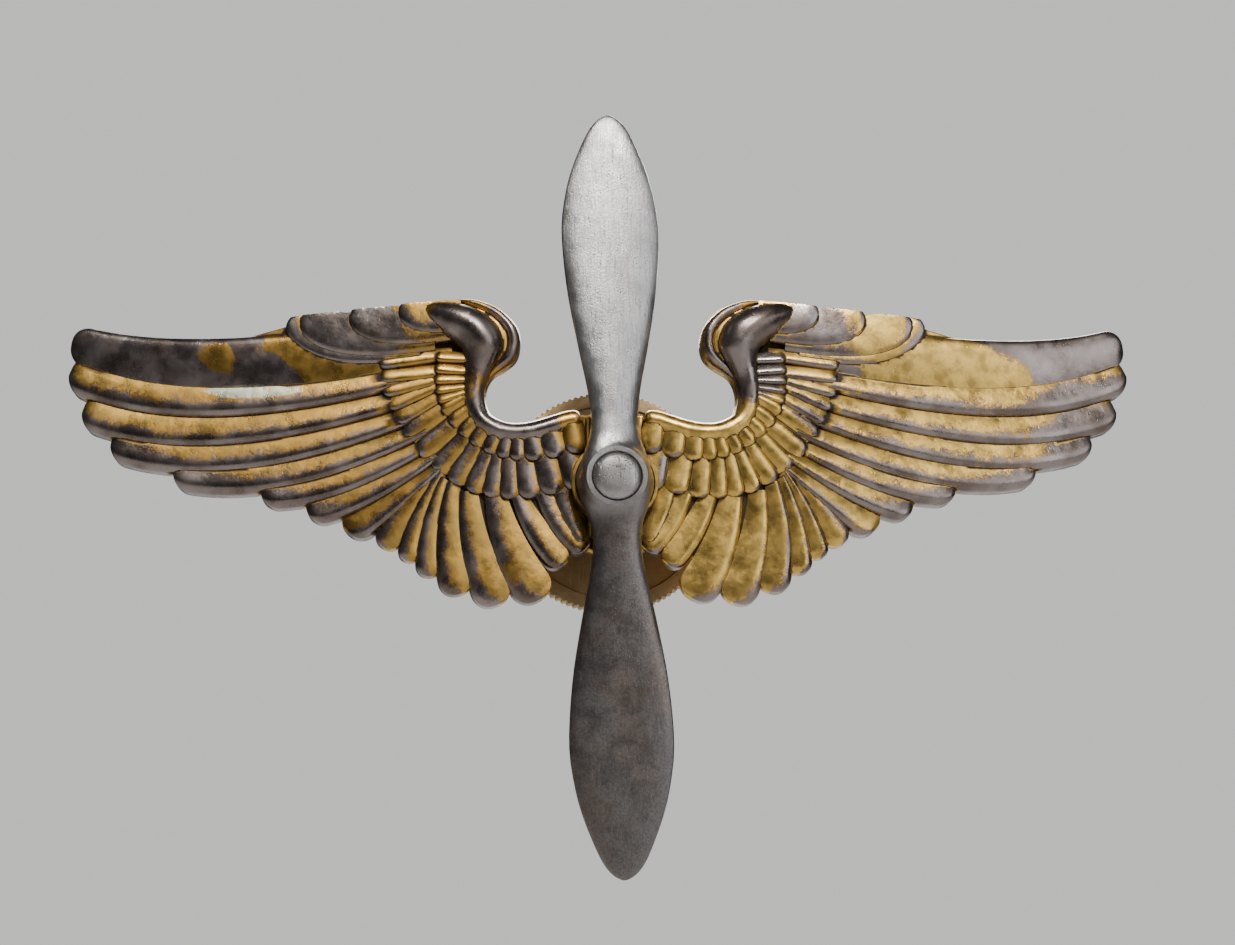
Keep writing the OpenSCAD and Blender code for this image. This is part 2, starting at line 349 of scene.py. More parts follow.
class Graph:
    """A short way to write a node tree: adds nodes and joins them as it goes."""

    def __init__(self, tree: bpy.types.NodeTree) -> None:
        """Keep the tree that the nodes go in."""
        self.tree = tree

    def add(self, kind: str, settings: dict | None = None, **inputs: object) -> bpy.types.Node:
        """Add a node, set its properties, and set or join its inputs.

        Args:
            kind: The node's type.
            settings: Properties to set on the node.
            **inputs: A value or an output for each input, with _ for a space, or _N for input number N.

        Returns:
            The node.
        """
        node = self.tree.nodes.new(kind)
        for key, value in (settings or {}).items():
            setattr(node, key, value)
        for key, value in inputs.items():
            socket = node.inputs[int(key[1:])] if key[0] == "_" else node.inputs[key.replace("_", " ")]
            if isinstance(value, bpy.types.NodeSocket):
                self.tree.links.new(value, socket)
            else:
                socket.default_value = value
        return node

    def math(self, operation: str, a: object, b: object, clamp: bool = False) -> bpy.types.NodeSocket:
        """Return the result of an operation on two values."""
        kind = {"operation": operation, "use_clamp": clamp}
        return self.add("ShaderNodeMath", kind, _0=a, _1=b).outputs[0]

    def total(self, start: object, *parts: tuple[object, object]) -> bpy.types.NodeSocket:
        """Return a value with weighted parts added to it.

        Args:
            start: The value to start from.
            *parts: Pairs of a value and its weight, which may be below zero.

        Returns:
            The sum.
        """
        for value, weight in parts:
            node = self.add("ShaderNodeMath", {"operation": "MULTIPLY_ADD"}, _0=value, _1=weight, _2=start)
            start = node.outputs[0]
        return start

    def ramp(self, value: bpy.types.NodeSocket, low: float, high: float) -> bpy.types.NodeSocket:
        """Return a smooth rise from 0 to 1.

        Args:
            value: The value that it follows.
            low: Where the rise starts.
            high: Where it ends.

        Returns:
            The rise.
        """
        kind = {"interpolation_type": "SMOOTHSTEP"}
        return self.add("ShaderNodeMapRange", kind, Value=value, From_Min=low, From_Max=high).outputs[0]

    def mix(self, amount: object, a: object, b: object) -> bpy.types.NodeSocket:
        """Return colour a where amount is 0 and colour b where it is 1."""
        return self.add("ShaderNodeMix", {"data_type": "RGBA"}, Factor=amount, _6=a, _7=b).outputs[2]

    def tint(self, colour: object, other: Colour, value: object, share: float) -> bpy.types.NodeSocket:
        """Return a colour that is moved towards another one by a share of value."""
        return self.mix(self.math("MULTIPLY", value, share), colour, rgba(other))

    def noise(self, place: object, scale: object, detail: float, **more: object) -> bpy.types.NodeSocket:
        """Return an even noise whose grain is 1 / scale metres across."""
        node = self.add("ShaderNodeTexNoise", None, Vector=place, Scale=scale, Detail=detail, **more)
        return node.outputs[0]


def rgba(colour: Colour) -> tuple[float, float, float, float]:
    """Return a colour with full alpha."""
    return (*colour, 1.0)


def make_group(name: str, inputs: dict[str, float], outputs: list[str]) -> tuple[bpy.types.NodeTree, Graph]:
    """Start a shader node group with float inputs and outputs.

    Args:
        name: The group's name.
        inputs: Each input's name and default.
        outputs: The names of the outputs.

    Returns:
        The group's tree, and a graph that writes in it.
    """
    tree = bpy.data.node_groups.new(name, "ShaderNodeTree")
    for key, value in inputs.items():
        socket = tree.interface.new_socket(key, in_out="INPUT", socket_type="NodeSocketFloat")
        socket.default_value = value
    for key in outputs:
        tree.interface.new_socket(key, in_out="OUTPUT", socket_type="NodeSocketFloat")
    return tree, Graph(tree)


def scratch_group() -> bpy.types.NodeTree:
    """Build the group that gives fine handling scratches, pits and soft blotches.

    Returns:
        The group, with outputs Scratch, Pit, Blotch, Brush and Grain, each from 0 to 1.
    """
    tree, g = make_group(
        "handling",
        {"Scratch Scale": 7000.0, "Pit Scale": 5200.0, "Blotch Scale": 320.0},
        ["Scratch", "Pit", "Blotch", "Brush", "Grain"],
    )
    given = g.add("NodeGroupInput").outputs
    place = g.add("ShaderNodeTexCoord").outputs["Object"]
    warp = g.add("ShaderNodeTexNoise", None, Vector=place, Scale=150.0, Detail=2.0).outputs[1]
    bent = g.add("ShaderNodeMix", {"data_type": "VECTOR"}, Factor=0.0004, _4=place, _5=warp).outputs[1]
    scratches, strokes = [], []
    for turn, stretch in ((0.3, 0.07), (-0.55, 0.06), (0.05, 0.05)):
        turned = g.add(
            "ShaderNodeMapping", None, Vector=bent, Rotation=(0.0, turn, 0.0), Scale=(1.0, 1.0, stretch)
        ).outputs[0]
        line = g.noise(turned, given["Scratch Scale"], 3.0, Roughness=0.7)
        scratches.append(g.ramp(line, 0.6, 0.78))
        strokes.append(line)
    scratch = g.math("MAXIMUM", g.math("MAXIMUM", scratches[0], scratches[1]), scratches[2])
    brush = g.total(0.0, *((line, 1 / len(strokes)) for line in strokes))
    cells = g.add("ShaderNodeTexVoronoi", None, Vector=place, Scale=given["Pit Scale"]).outputs[0]
    pit = g.math("MULTIPLY", g.ramp(cells, 0.34, 0.12), g.ramp(g.noise(place, 700.0, 3.0), 0.46, 0.62))
    blotch = g.noise(place, given["Blotch Scale"], 5.0, Roughness=0.62)
    g.add(
        "NodeGroupOutput",
        None,
        Scratch=scratch,
        Pit=pit,
        Blotch=g.ramp(blotch, 0.3, 0.7),
        Brush=g.ramp(brush, 0.38, 0.62),
        Grain=g.ramp(g.noise(place, 6500.0, 3.0), 0.35, 0.65),
    )
    return tree


def ragged_group() -> bpy.types.NodeTree:
    """Build the group that turns a smooth value into a mask with a ragged, flaking edge.

    Returns:
        The group, with an input Value and an output Mask.
    """
    tree, g = make_group(
        "ragged_edge", {"Value": 0.0, "Level": 0.5, "Spread": 0.3, "Softness": 0.06}, ["Mask"]
    )
    given = g.add("NodeGroupInput").outputs
    place = g.add("ShaderNodeTexCoord").outputs["Object"]
    swing = 0.0
    for scale, detail, share in ((420.0, 3.0, 0.7), (2200.0, 4.0, 0.7), (8000.0, 3.0, 0.8)):
        swing = g.total(swing, (g.math("SUBTRACT", g.noise(place, scale, detail), 0.5), share))
    moved = g.total(given["Value"], (swing, given["Spread"]))
    over = g.math("DIVIDE", g.math("SUBTRACT", moved, given["Level"]), given["Softness"])
    g.add("NodeGroupOutput", None, Mask=g.math("ADD", over, 0.5, clamp=True))
    return tree


class Shop:
    """The node groups that more than one finish uses, built once."""

    def __init__(self) -> None:
        """Build every shared group."""
        self.handling = scratch_group()
        self.ragged = ragged_group()

    def place(self, g: Graph, tree: bpy.types.NodeTree, **inputs: object) -> bpy.types.NodeOutputs:
        """Add a shared group to a material and return its outputs."""
        return g.add("ShaderNodeGroup", {"node_tree": tree}, **inputs).outputs


def start_material(name: str) -> tuple[bpy.types.Material, Graph]:
    """Start a material with an empty node tree.

    Args:
        name: The material's name.

    Returns:
        The material, and a graph that writes in its tree.
    """
    material = bpy.data.materials.new(name)
    material.use_nodes = True
    material.node_tree.nodes.clear()
    return material, Graph(material.node_tree)


def end_material(
    g: Graph, colour: object, roughness: object, height: object, depth: float, metallic: object = 1.0
) -> None:
    """Add the surface shader and the output.

    Args:
        g: The material's graph.
        colour: Base colour.
        roughness: Roughness.
        height: The pattern that the bump follows, from 0 to 1.
        depth: How deep that pattern is, in metres.
        metallic: How metallic the surface is.
    """
    bump = g.add("ShaderNodeBump", None, Strength=1.0, Distance=depth, Height=height).outputs[0]
    look = {"Base_Color": colour, "Roughness": roughness, "Metallic": metallic, "Normal": bump}
    shader = g.add("ShaderNodeBsdfPrincipled", None, **look)
    g.add("ShaderNodeOutputMaterial", None, Surface=shader.outputs[0])


# ---------------------------------------------------------------- finishes


@dataclass(frozen=True)
class WornGilt:
    """Gilding over grey metal, rubbed through on the high feathers, with dirt and painted shade in the
    grooves, painted shadow on the seat's lower half, a rubbed stretch lightened as a painted highlight, and
    the left wing's gold darkened partly as painted shade.
    """

    # The left wing's gold is darker than the right's, partly tarnish and partly painted shade.
    left_gold: Colour = (0.47, 0.275, 0.06)
    right_gold: Colour = (0.72, 0.47, 0.12)
    bare: Colour = (0.115, 0.1, 0.097)
    pale_bare: Colour = (0.25, 0.225, 0.225)
    # Near-black brown of the grooves and the seat's lower half: dirt together with painted shade and painted
    # shadow.
    grime_and_shade: Colour = (0.03, 0.016, 0.008)
    olive: Colour = (0.28, 0.19, 0.05)
    fringe: Colour = (0.36, 0.21, 0.09)
    # Colour of a rubbed stretch on the left wing, lightened as a painted highlight.
    polish_sheen_spot: Colour = (0.48, 0.48, 0.37)
    relief: float = 0.000022

    def build(self, shop: Shop) -> bpy.types.Material:
        """Build the material.

        Args:
            shop: The shared node groups.

        Returns:
            The material.
        """
        material, g = start_material("worn_gilt")
        place = g.add("ShaderNodeTexCoord").outputs["Object"]
        across, depth, _ = g.add("ShaderNodeSeparateXYZ", None, Vector=place).outputs
        worn, groove, polish_sheen = (
            g.add("ShaderNodeAttribute", {"attribute_name": mark.value}).outputs["Fac"] for mark in Mark
        )
        handling = shop.place(g, shop.handling, Blotch_Scale=600.0)
        rubbed = shop.place(g, shop.ragged, Value=worn, Level=0.56, Spread=0.75, Softness=0.25)["Mask"]
        # The groove mark darkens the grooves with dirt and painted shade, and the seat's lower half with
        # painted shadow.
        grime_and_shade_mask = shop.place(g, shop.ragged, Value=groove, Level=0.55, Spread=0.35, Softness=0.5)["Mask"]
        # A rubbed stretch on the left wing, mixed towards near-white as a painted highlight.
        pale = shop.place(g, shop.ragged, Value=polish_sheen, Level=0.5, Spread=0.5, Softness=0.3)["Mask"]
        # The left wing's front is darker gold than the right's, partly as painted shade; the back takes the
        # middle of the two.
        side = g.ramp(across, -0.004, 0.004)
        at_back = g.ramp(depth, -0.0012, 0.0)
        side = g.total(side, (g.math("SUBTRACT", 0.5, side), at_back))
        gold = g.mix(side, rgba(self.left_gold), rgba(self.right_gold))
        gold = g.tint(gold, self.olive, g.ramp(g.noise(place, 900.0, 5.0), 0.42, 0.66), 0.75)
        cloud = g.ramp(g.noise(place, 380.0, 5.0), 0.35, 0.65)
        bare = g.mix(cloud, rgba(self.bare), rgba(self.pale_bare))
        colour = g.mix(g.ramp(rubbed, 0.0, 0.55), gold, rgba(self.fringe))
        colour = g.mix(g.ramp(rubbed, 0.35, 0.9), colour, bare)
        colour = g.tint(colour, self.fringe, handling["Grain"], 0.22)
        colour = g.mix(pale, colour, rgba(self.polish_sheen_spot))
        colour = g.mix(grime_and_shade_mask, colour, rgba(self.grime_and_shade))
        rough = g.total(0.25, (handling["Blotch"], 0.16), (rubbed, -0.03), (grime_and_shade_mask, 0.3))
        height = g.total(0.0, (handling["Blotch"], 0.5), (rubbed, -0.1))
        height = g.total(height, (handling["Scratch"], -0.12), (handling["Pit"], -0.06))
        end_material(g, colour, rough, height, self.relief, g.total(1.0, (grime_and_shade_mask, -0.5)))
        return material


@dataclass(frozen=True)
class OldSilver:
    """Silver that is rubbed bright above the hub and tarnished dark below it."""

    bright: Colour = (0.52, 0.51, 0.505)
    cloudy: Colour = (0.26, 0.252, 0.25)
    tarnish: Colour = (0.13, 0.12, 0.118)
    brown: Colour = (0.16, 0.125, 0.105)
    border: Pair = (-0.005, 0.004)
    relief: float = 0.000007

    def build(self, shop: Shop) -> bpy.types.Material:
        """Build the material.

        Args:
            shop: The shared node groups.

        Returns:
            The material.
        """
        material, g = start_material("old_silver")
        place = g.add("ShaderNodeTexCoord").outputs["Object"]
        up = g.add("ShaderNodeSeparateXYZ", None, Vector=place).outputs[2]
        high = g.ramp(up, *self.border)
        handling = shop.place(g, shop.handling, Blotch_Scale=900.0)
        scratch, pit, blotch, brush, grain = handling
        mottle = g.ramp(g.noise(place, 650.0, 6.0), 0.35, 0.7)
        clean = g.tint(rgba(self.bright), self.cloudy, mottle, 0.45)
        clean = g.tint(clean, self.cloudy, brush, 0.55)
        clean = g.tint(clean, self.tarnish, scratch, 0.45)
        clean = g.tint(clean, self.cloudy, grain, 0.4)
        stain = g.ramp(g.noise(place, 300.0, 5.0), 0.4, 0.7)
        dark = g.mix(stain, rgba(self.tarnish), rgba(self.brown))
        dark = g.tint(dark, self.cloudy, grain, 0.3)
        dark = g.tint(dark, self.cloudy, scratch, 0.35)
        colour = g.tint(g.mix(high, dark, clean), self.tarnish, pit, 0.7)
        rough = g.total(0.36, (blotch, 0.14), (high, -0.06))
        height = g.total(0.0, (blotch, 0.4), (scratch, -1.0), (brush, 0.5), (grain, 0.4), (pit, -0.9))
        end_material(g, colour, rough, height, self.relief)
        return material


@dataclass(frozen=True)
class PlainMetal:
    """A metal of one colour with blotches, pits and scratches in it."""

    name: str
    light: Colour
    dark: Colour
    rough: float = 0.35
    pitted: float = 0.5
    relief: float = 0.00001

    def build(self, shop: Shop) -> bpy.types.Material:
        """Build the material.

        Args:
            shop: The shared node groups.

        Returns:
            The material.
        """
        material, g = start_material(self.name)
        scratch, pit, blotch, _, _ = shop.place(g, shop.handling)
        colour = g.tint(rgba(self.light), self.dark, blotch, 0.8)
        colour = g.tint(colour, self.dark, pit, self.pitted)
        rough = g.total(self.rough, (blotch, 0.15))
        height = g.total(0.0, (blotch, 0.4), (scratch, -1.0), (pit, -1.2))
        end_material(g, colour, rough, height, self.relief)
        return material


POST_METAL = PlainMetal("post_metal", (0.4, 0.385, 0.375), (0.15, 0.142, 0.14), 0.36, 0.9, 0.000025)
BACK_BRASS = PlainMetal("back_brass", (0.5, 0.37, 0.17), (0.24, 0.17, 0.08), 0.4)
# The nut's brass is darker than the back's, partly as painted shade for the nut that sits behind the wings.
NUT_BRASS = PlainMetal("nut_brass", (0.4, 0.28, 0.15), (0.26, 0.18, 0.095), 0.5)
BUSHING_BRASS = PlainMetal("bushing_brass", (0.62, 0.47, 0.2), (0.36, 0.26, 0.11), 0.3)


# ---------------------------------------------------------------- the wings


@dataclass(frozen=True)
class GiltMap:
    """Places on the wings where the gilding is kept or lost: centre, reach and how much."""

    left: Spots = (
        ((18.0, 11.8), 4.0, 0.9),
        ((13.2, 13.0), 1.2, -1.4),
        ((12.5, 8.0), 4.5, -0.45),
        ((9.0, 6.0), 1.6, 0.25),
        ((5.5, 1.2), 5.0, 0.3),
        ((7.8, -6.6), 1.6, -0.35),
        ((2.0, 4.6), 2.7, -1.5),
        ((9.7, 6.4), 2.6, -0.62),
    )
    right: Spots = (
        ((35.5, 6.5), 4.5, 0.35),
        ((33.0, 5.4), 4.0, 0.35),
        ((14.8, 12.6), 2.8, 0.9),
        ((19.5, 10.6), 2.5, -0.4),
        ((9.7, 8.2), 3.4, 1.05),
        ((8.0, 3.5), 5.0, -0.5),
        ((9.3, 4.2), 4.0, -0.75),
        ((6.5, 3.9), 2.6, -0.8),
        ((3.2, 4.5), 2.2, -1.1),
        ((7.0, -3.0), 6.0, -0.4),
        ((14.5, 4.5), 2.4, 0.2),
        ((22.0, 3.0), 8.0, 0.12),
    )
    leading_left: Spots = (
        ((28.0, 10.1), 1.9, -0.95),
        ((27.1, 9.2), 1.6, -0.7),
        ((24.8, 10.8), 1.8, -0.85),
        ((22.6, 10.7), 2.2, -1.0),
        ((21.2, 9.6), 2.2, -1.0),
        ((18.8, 8.7), 3.4, -1.3),
    )
    leading_right: Spots = (
        ((22.6, 9.8), 6.0, -1.6),
        ((28.2, 8.4), 3.6, -0.8),
    )
    left_bias: float = 0.0
    right_bias: float = -0.14
    leading_bias: float = 0.75
    # Where the rubbed stretch with the painted highlight lies, its size and its bend.
    polish_sheen_spot: Pair = (25.0, 6.95)
    polish_sheen_size: Pair = (4.0, 0.6)
    polish_sheen_bend: float = 0.01

    def polish_sheen_at(self, place: Vector, wing: Wing) -> float:
        """Return how far a place lies in the rubbed stretch that carries a painted highlight, on the left
        wing only.

        Args:
            place: The place on the drawing, as if on the right wing.
            wing: The wing that it is on.

        Returns:
            1 well inside the stretch and 0 outside it.
        """
        away = place - Vector(self.polish_sheen_spot)
        away.y -= self.polish_sheen_bend * away.x**2
        reach = math.hypot(away.x / self.polish_sheen_size[0], away.y / self.polish_sheen_size[1])
        return (wing is Wing.LEFT) * (1 - ease(0.6, 1.1, reach))

    def at(self, place: Vector, wing: Wing, leading: bool = False) -> float:
        """Return how much more worn, or less, the gilding is at a place.

        Args:
            place: The place on the drawing, as if on the right wing.
            wing: The wing that it is on.
            leading: Whether it is on the broad feather at the leading edge.

        Returns:
            The change in wear.
        """
        on_left = wing is Wing.LEFT
        if leading:
            bias, spots = self.leading_bias, self.leading_left if on_left else self.leading_right
        else:
            bias, spots = (self.left_bias, self.left) if on_left else (self.right_bias, self.right)
        return bias + sum(
            amount * (1 - ease(0.4 * reach, reach, (place - Vector(centre)).length))
            for centre, reach, amount in spots
        )


@dataclass(frozen=True)
class Vane:
    """One feather of the right wing, laid out in millimetres.

    It runs from root to tip along a curve that leans towards bow, with its half width at those three in
    widths. Its front stands at the depth base and its ridge rises in front of that. The part past cap is
    its round tip, and its upper edge is cut off along a line that falls outwards from roof.
    """

    root: Pair
    bow: Pair
    tip: Pair
    widths: tuple[float, float, float]
    lay: Lay = Lay.LOWER
    base: float = -1.7
    ridge: float = 0.6
    fall: float = 0.8
    tuck: float = 1.35
    slant: float = 0.35
    plump: float = 2.6
    steps: tuple[int, int] = (28, 14)
    cap: float = 0.72
    leading: bool = False
    roof: float = 20.0
    tip_wear: float = 0.5
    end_wear: float = 0.0

    def edge(self, t: float, over: float) -> tuple[Vector, Vector, float]:
        """Return the middle, the unit way across and the half width at a step along the feather.

        Args:
            t: 0 at the root and 1 at the centre of the round tip.
            over: The angle round the tip in radians, from 0 at its centre to a quarter turn at its end.

        Returns:
            The point on the middle line, the direction towards the upper or outer side, and the half width.
        """
        root, bow, tip = flat([self.root, self.bow, self.tip])
        way = ((bow - root) * (1 - t) + (tip - bow) * t).normalized()
        wide = bend(*(Vector((w, 0)) for w in self.widths), t).x
        middle = bend(root, bow, tip, t) + way * (wide * math.sin(over))
        return middle, Vector((-way.y, way.x)), wide

    def swell(self, s: float) -> float:
        """Return the feather's height across it, which falls steeply on its proud side.

        Args:
            s: -1 at one edge of the feather and 1 at the other.

        Returns:
            The height, 1 at the ridge.
        """
        peak = self.lay.value
        ahead = (s - peak) * self.proud
        if ahead >= 0:
            return math.sqrt(max(0.0, 1 - (ahead / (1 - abs(peak))) ** self.plump))
        away = -ahead / (1 + abs(peak))
        return 1 - self.fall * away**1.6

    @property
    def proud(self) -> int:
        """Return which side stands proud, -1 for the lower one and 1 for the outer one."""
        return -1 if self.lay.value < 0 else 1

    def shell(self, back: float, spots: GiltMap, wing: Wing) -> bmesh.types.BMesh:
        """Build the feather as a closed shell, from its crowned front down to the plate's back.

        Args:
            back: Depth of the plate's back.
            spots: Where the gilding is kept or lost.
            wing: The wing that the feather is on.

        Returns:
            The shell, in that wing's place.
        """
        bm = bmesh.new()
        bmesh.ops.create_grid(bm, x_segments=self.steps[0], y_segments=self.steps[1], size=1)
        worn, _, polish_sheen = add_marks(bm)
        for v in bm.verts:
            u, s = (v.co.x + 1) / 2, math.sin(v.co.y * math.pi / 2)
            over = max(0.0, (u - self.cap) / (1 - self.cap)) * math.pi / 2
            middle, across, wide = self.edge(min(1.0, u / self.cap), over)
            closing = math.cos(over)
            tuck = blend(1, self.tuck, closing) if s * self.proud < 0 else 1
            skew = self.slant * ease(0.35, 1.0, u) * closing
            along = Vector((across.y, -across.x))
            place = middle + (across * (closing**0.8 * tuck) + along * skew) * (wide * s)
            place.y = min(place.y, self.roof - ROOF_FALL * (place.x - ROOF_START))
            rise = self.ridge * self.swell(s) * closing**0.4
            rub = 0.5 + 0.5 * s * self.proud
            rub += self.tip_wear * ease(0.3, 1.5, over) + self.end_wear * ease(0.5, 0.75, u)
            v[worn] = rub + spots.at(place, wing, self.leading)
            # How far the point lies in the rubbed stretch that carries a painted highlight.
            v[polish_sheen] = spots.polish_sheen_at(place, wing)
            v.co = on_badge(Vector((place.x * wing.value, place.y)), self.base - rise)
        made = bmesh.ops.extrude_face_region(bm, geom=bm.faces[:])["geom"]
        for v in made:
            if isinstance(v, bmesh.types.BMVert):
                v.co.y = back
        close_up(bm)
        return bm


@dataclass(frozen=True)
class CovertRow:
    """A row of coverts, whose tips lie on a curve from the wrist to the hub.

    Its lengths are those of its first and last coverts. Their fronts stand at the depth base and their
    ridges rise in front of that. The curve's direction is taken over one tick to each side of a place.
    """

    tips: tuple[Pair, ...]
    lengths: Pair
    count: int
    base: float
    ridge: float
    tick: float = 0.02

    def step(self, t: float) -> Vector:
        """Return the way along the tips' curve from just before t to just after it."""
        tips = flat(self.tips)
        return glide(tips, min(1, t + self.tick)) - glide(tips, max(0, t - self.tick))

    def square(self, t: float) -> Vector:
        """Return the unit way out across the row at t."""
        step = self.step(t)
        return Vector((-step.y, step.x)).normalized()

    def feathers(self) -> list[Vane]:
        """Lay out the row's coverts, each square to the curve that their tips lie on.

        Returns:
            The coverts, from the wrist to the hub.
        """
        look = {"tuck": 1.12, "slant": 0.0, "plump": 3.0, "steps": (14, 10), "cap": 0.66, "tip_wear": 0.85}
        made = []
        for i in range(self.count):
            t = i / (self.count - 1)
            span = min(1, t + self.tick) - max(0, t - self.tick)
            half = 0.54 * self.step(t).length / span / (self.count - 1)
            end = glide(flat(self.tips), t) - self.square(t) * half * 0.6
            root = end - self.square(t) * blend(*self.lengths, t)
            line = [p.to_tuple() for p in (root, (root + end) / 2, end)]
            lay = Lay.LOWER if t < 0.32 else Lay.EVEN
            vane = Vane(*line, (half * 0.8, half, half), lay, self.base, self.ridge)
            made.append(replace(vane, **look))
        return made

    def bed(self) -> list[Vector]:
        """Draw the outline of the step that the row stands on, set in a little from its tips.

        Returns:
            The outline's points, in order.
        """
        marks = 24
        outer = [glide(flat(self.tips), k / marks) for k in range(marks + 1)]
        inner = []
        for k in range(marks, -1, -2):
            t = k / marks
            inner.append(outer[k] - self.square(t) * blend(*self.lengths, t) * 0.8)
        return [p.lerp(inner[(marks - k) // 2], 0.2) for k, p in enumerate(outer)] + inner


@dataclass
class Wings:
    """Both wings, struck as one plate with the propeller's seat between them.

    The plate is bowed to bow_radius, and cut every bow_step across so that it bows evenly. A fold sharper
    than valley, in degrees, takes dirt and painted shade.
    """

    bow_radius: float = 360.0
    bow_step: float = 2.0
    plate_thickness: float = 0.9
    coverts_in_row: int = 15
    hub_radius: float = 2.75
    neck_half: float = 1.68
    neck_reach: float = 4.7
    seat_gap: float = 0.05
    seat_rim: float = 0.2
    post_hole: float = 1.2
    valley: float = 14.0
    gilt_map: GiltMap = GiltMap()

    def __post_init__(self) -> None:
        """Work the depths out from the collar's and the propeller's boxes."""
        self.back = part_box("post_collar")[0].y / MM
        self.front = self.back - self.plate_thickness
        self.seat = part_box("propeller")[1].y / MM

    def flight_feathers(self) -> list[Vane]:
        """Lay out the flight feathers: the leading one, the long ones and the fan below the arm.

        Returns:
            The feathers, from the leading edge to the root.
        """
        low, even, out = Lay.LOWER, Lay.EVEN, Lay.OUTER
        rows = [
            ((15.0, 10.2), (29.0, 8.0), (36.6, 10.5), (2.0, 1.95, 1.4), even),
            ((14.5, 7.9), (29.0, 4.6), (36.9, 8.1), (0.8, 1.3, 1.2), low),
            ((14.0, 6.5), (28.0, 2.4), (35.9, 5.4), (0.7, 1.2, 1.15), low),
            ((13.6, 5.3), (26.0, 0.7), (33.8, 3.1), (0.65, 1.25, 1.15), low),
            ((13.2, 4.1), (22.5, -0.2), (29.4, 1.0), (0.6, 1.2, 1.1), low),
            ((12.8, 3.1), (19.0, -0.2), (23.4, -0.4), (0.5, 1.2, 1.0), low),
            ((12.4, 2.2), (16.8, -0.6), (20.2, -1.6), (0.45, 1.05, 0.95), low),
            ((12.0, 1.5), (15.0, -0.8), (17.5, -2.7), (0.4, 0.95, 1.0), low),
            ((12.0, 1.4), (14.2, -0.9), (15.7, -3.4), (0.4, 0.7, 0.85), even),
            ((12.0, 0.9), (13.7, -1.8), (14.3, -4.5), (0.35, 0.55, 0.7), out),
            ((11.8, 0.5), (13.0, -2.5), (13.0, -5.5), (0.4, 0.65, 0.8), out),
            ((11.2, 0.2), (12.0, -3.6), (11.2, -6.6), (0.45, 0.95, 1.05), out),
            ((10.2, -0.4), (10.2, -4.2), (8.8, -7.3), (0.6, 1.0, 1.2), out),
            ((8.4, -0.6), (7.9, -4.0), (6.1, -7.0), (0.7, 1.1, 1.3), out),
            ((6.8, -0.6), (5.8, -3.2), (4.2, -5.1), (0.5, 0.9, 0.8), out),
            ((5.0, -0.4), (4.2, -2.5), (2.7, -4.1), (0.6, 0.9, 0.8), out),
            ((3.7, -0.2), (3.2, -2.0), (2.45, -3.6), (0.7, 0.85, 0.6), out),
        ]
        made = [Vane(*row, base=self.front, fall=0.85) for row in rows]
        broad = {"ridge": 0.5, "fall": 0.5, "tuck": 1.1, "slant": 0.15, "plump": 4.0, "steps": (72, 22)}
        made[0] = replace(made[0], leading=True, **broad)
        made[3:7] = [replace(vane, end_wear=0.35) for vane in made[3:7]]
        fan = [replace(vane, fall=0.6, tuck=1.25, slant=-0.15, ridge=0.42) for vane in made[8:]]
        fan[:4] = [replace(vane, ridge=0.52) for vane in fan[:4]]
        return made[:8] + fan

    def leaves(self) -> list[Vane]:
        """Lay out the leaves of the small wing along the upper edge, each in front of the last.

        Returns:
            The leaves, lowest first.
        """
        rows = [
            ((13.5, 9.7), (20.5, 8.9), (22.0, 11.6), (0.5, 0.95, 0.95)),
            ((12.5, 10.9), (18.8, 10.4), (20.6, 11.7), (1.2, 1.75, 1.4)),
            ((11.5, 11.7), (15.8, 11.2), (17.2, 12.0), (1.3, 1.6, 1.3)),
            ((10.5, 12.2), (13.0, 11.9), (13.9, 12.4), (1.2, 1.3, 1.15)),
        ]
        look = {"ridge": 0.36, "fall": 0.35, "tuck": 1.0, "slant": 0.2, "plump": 3.4, "roof": 13.5}
        return [Vane(*row, base=self.front - 0.22 - 0.14 * i, **look) for i, row in enumerate(rows)]

    def covert_rows(self) -> list[CovertRow]:
        """Lay out the two rows of coverts.

        Returns:
            The long coverts' row, and the short coverts' row in front of it.
        """
        long_tips = (
            (16.1, 8.9), (15.75, 6.5), (14.5, 4.1), (12.2, 1.3), (9.4, -0.4), (6.4, -0.7), (2.7, 0.0),
        )
        short_tips = (
            (12.2, 9.2), (12.3, 7.3), (11.9, 5.6), (10.5, 3.7), (8.4, 2.3), (6.0, 1.9), (2.6, 2.5),
        )
        return [
            CovertRow(long_tips, (4.6, 3.2), self.coverts_in_row, self.front - 0.28, 0.4),
            CovertRow(short_tips, (1.9, 1.3), self.coverts_in_row, self.front - 0.58, 0.38),
        ]

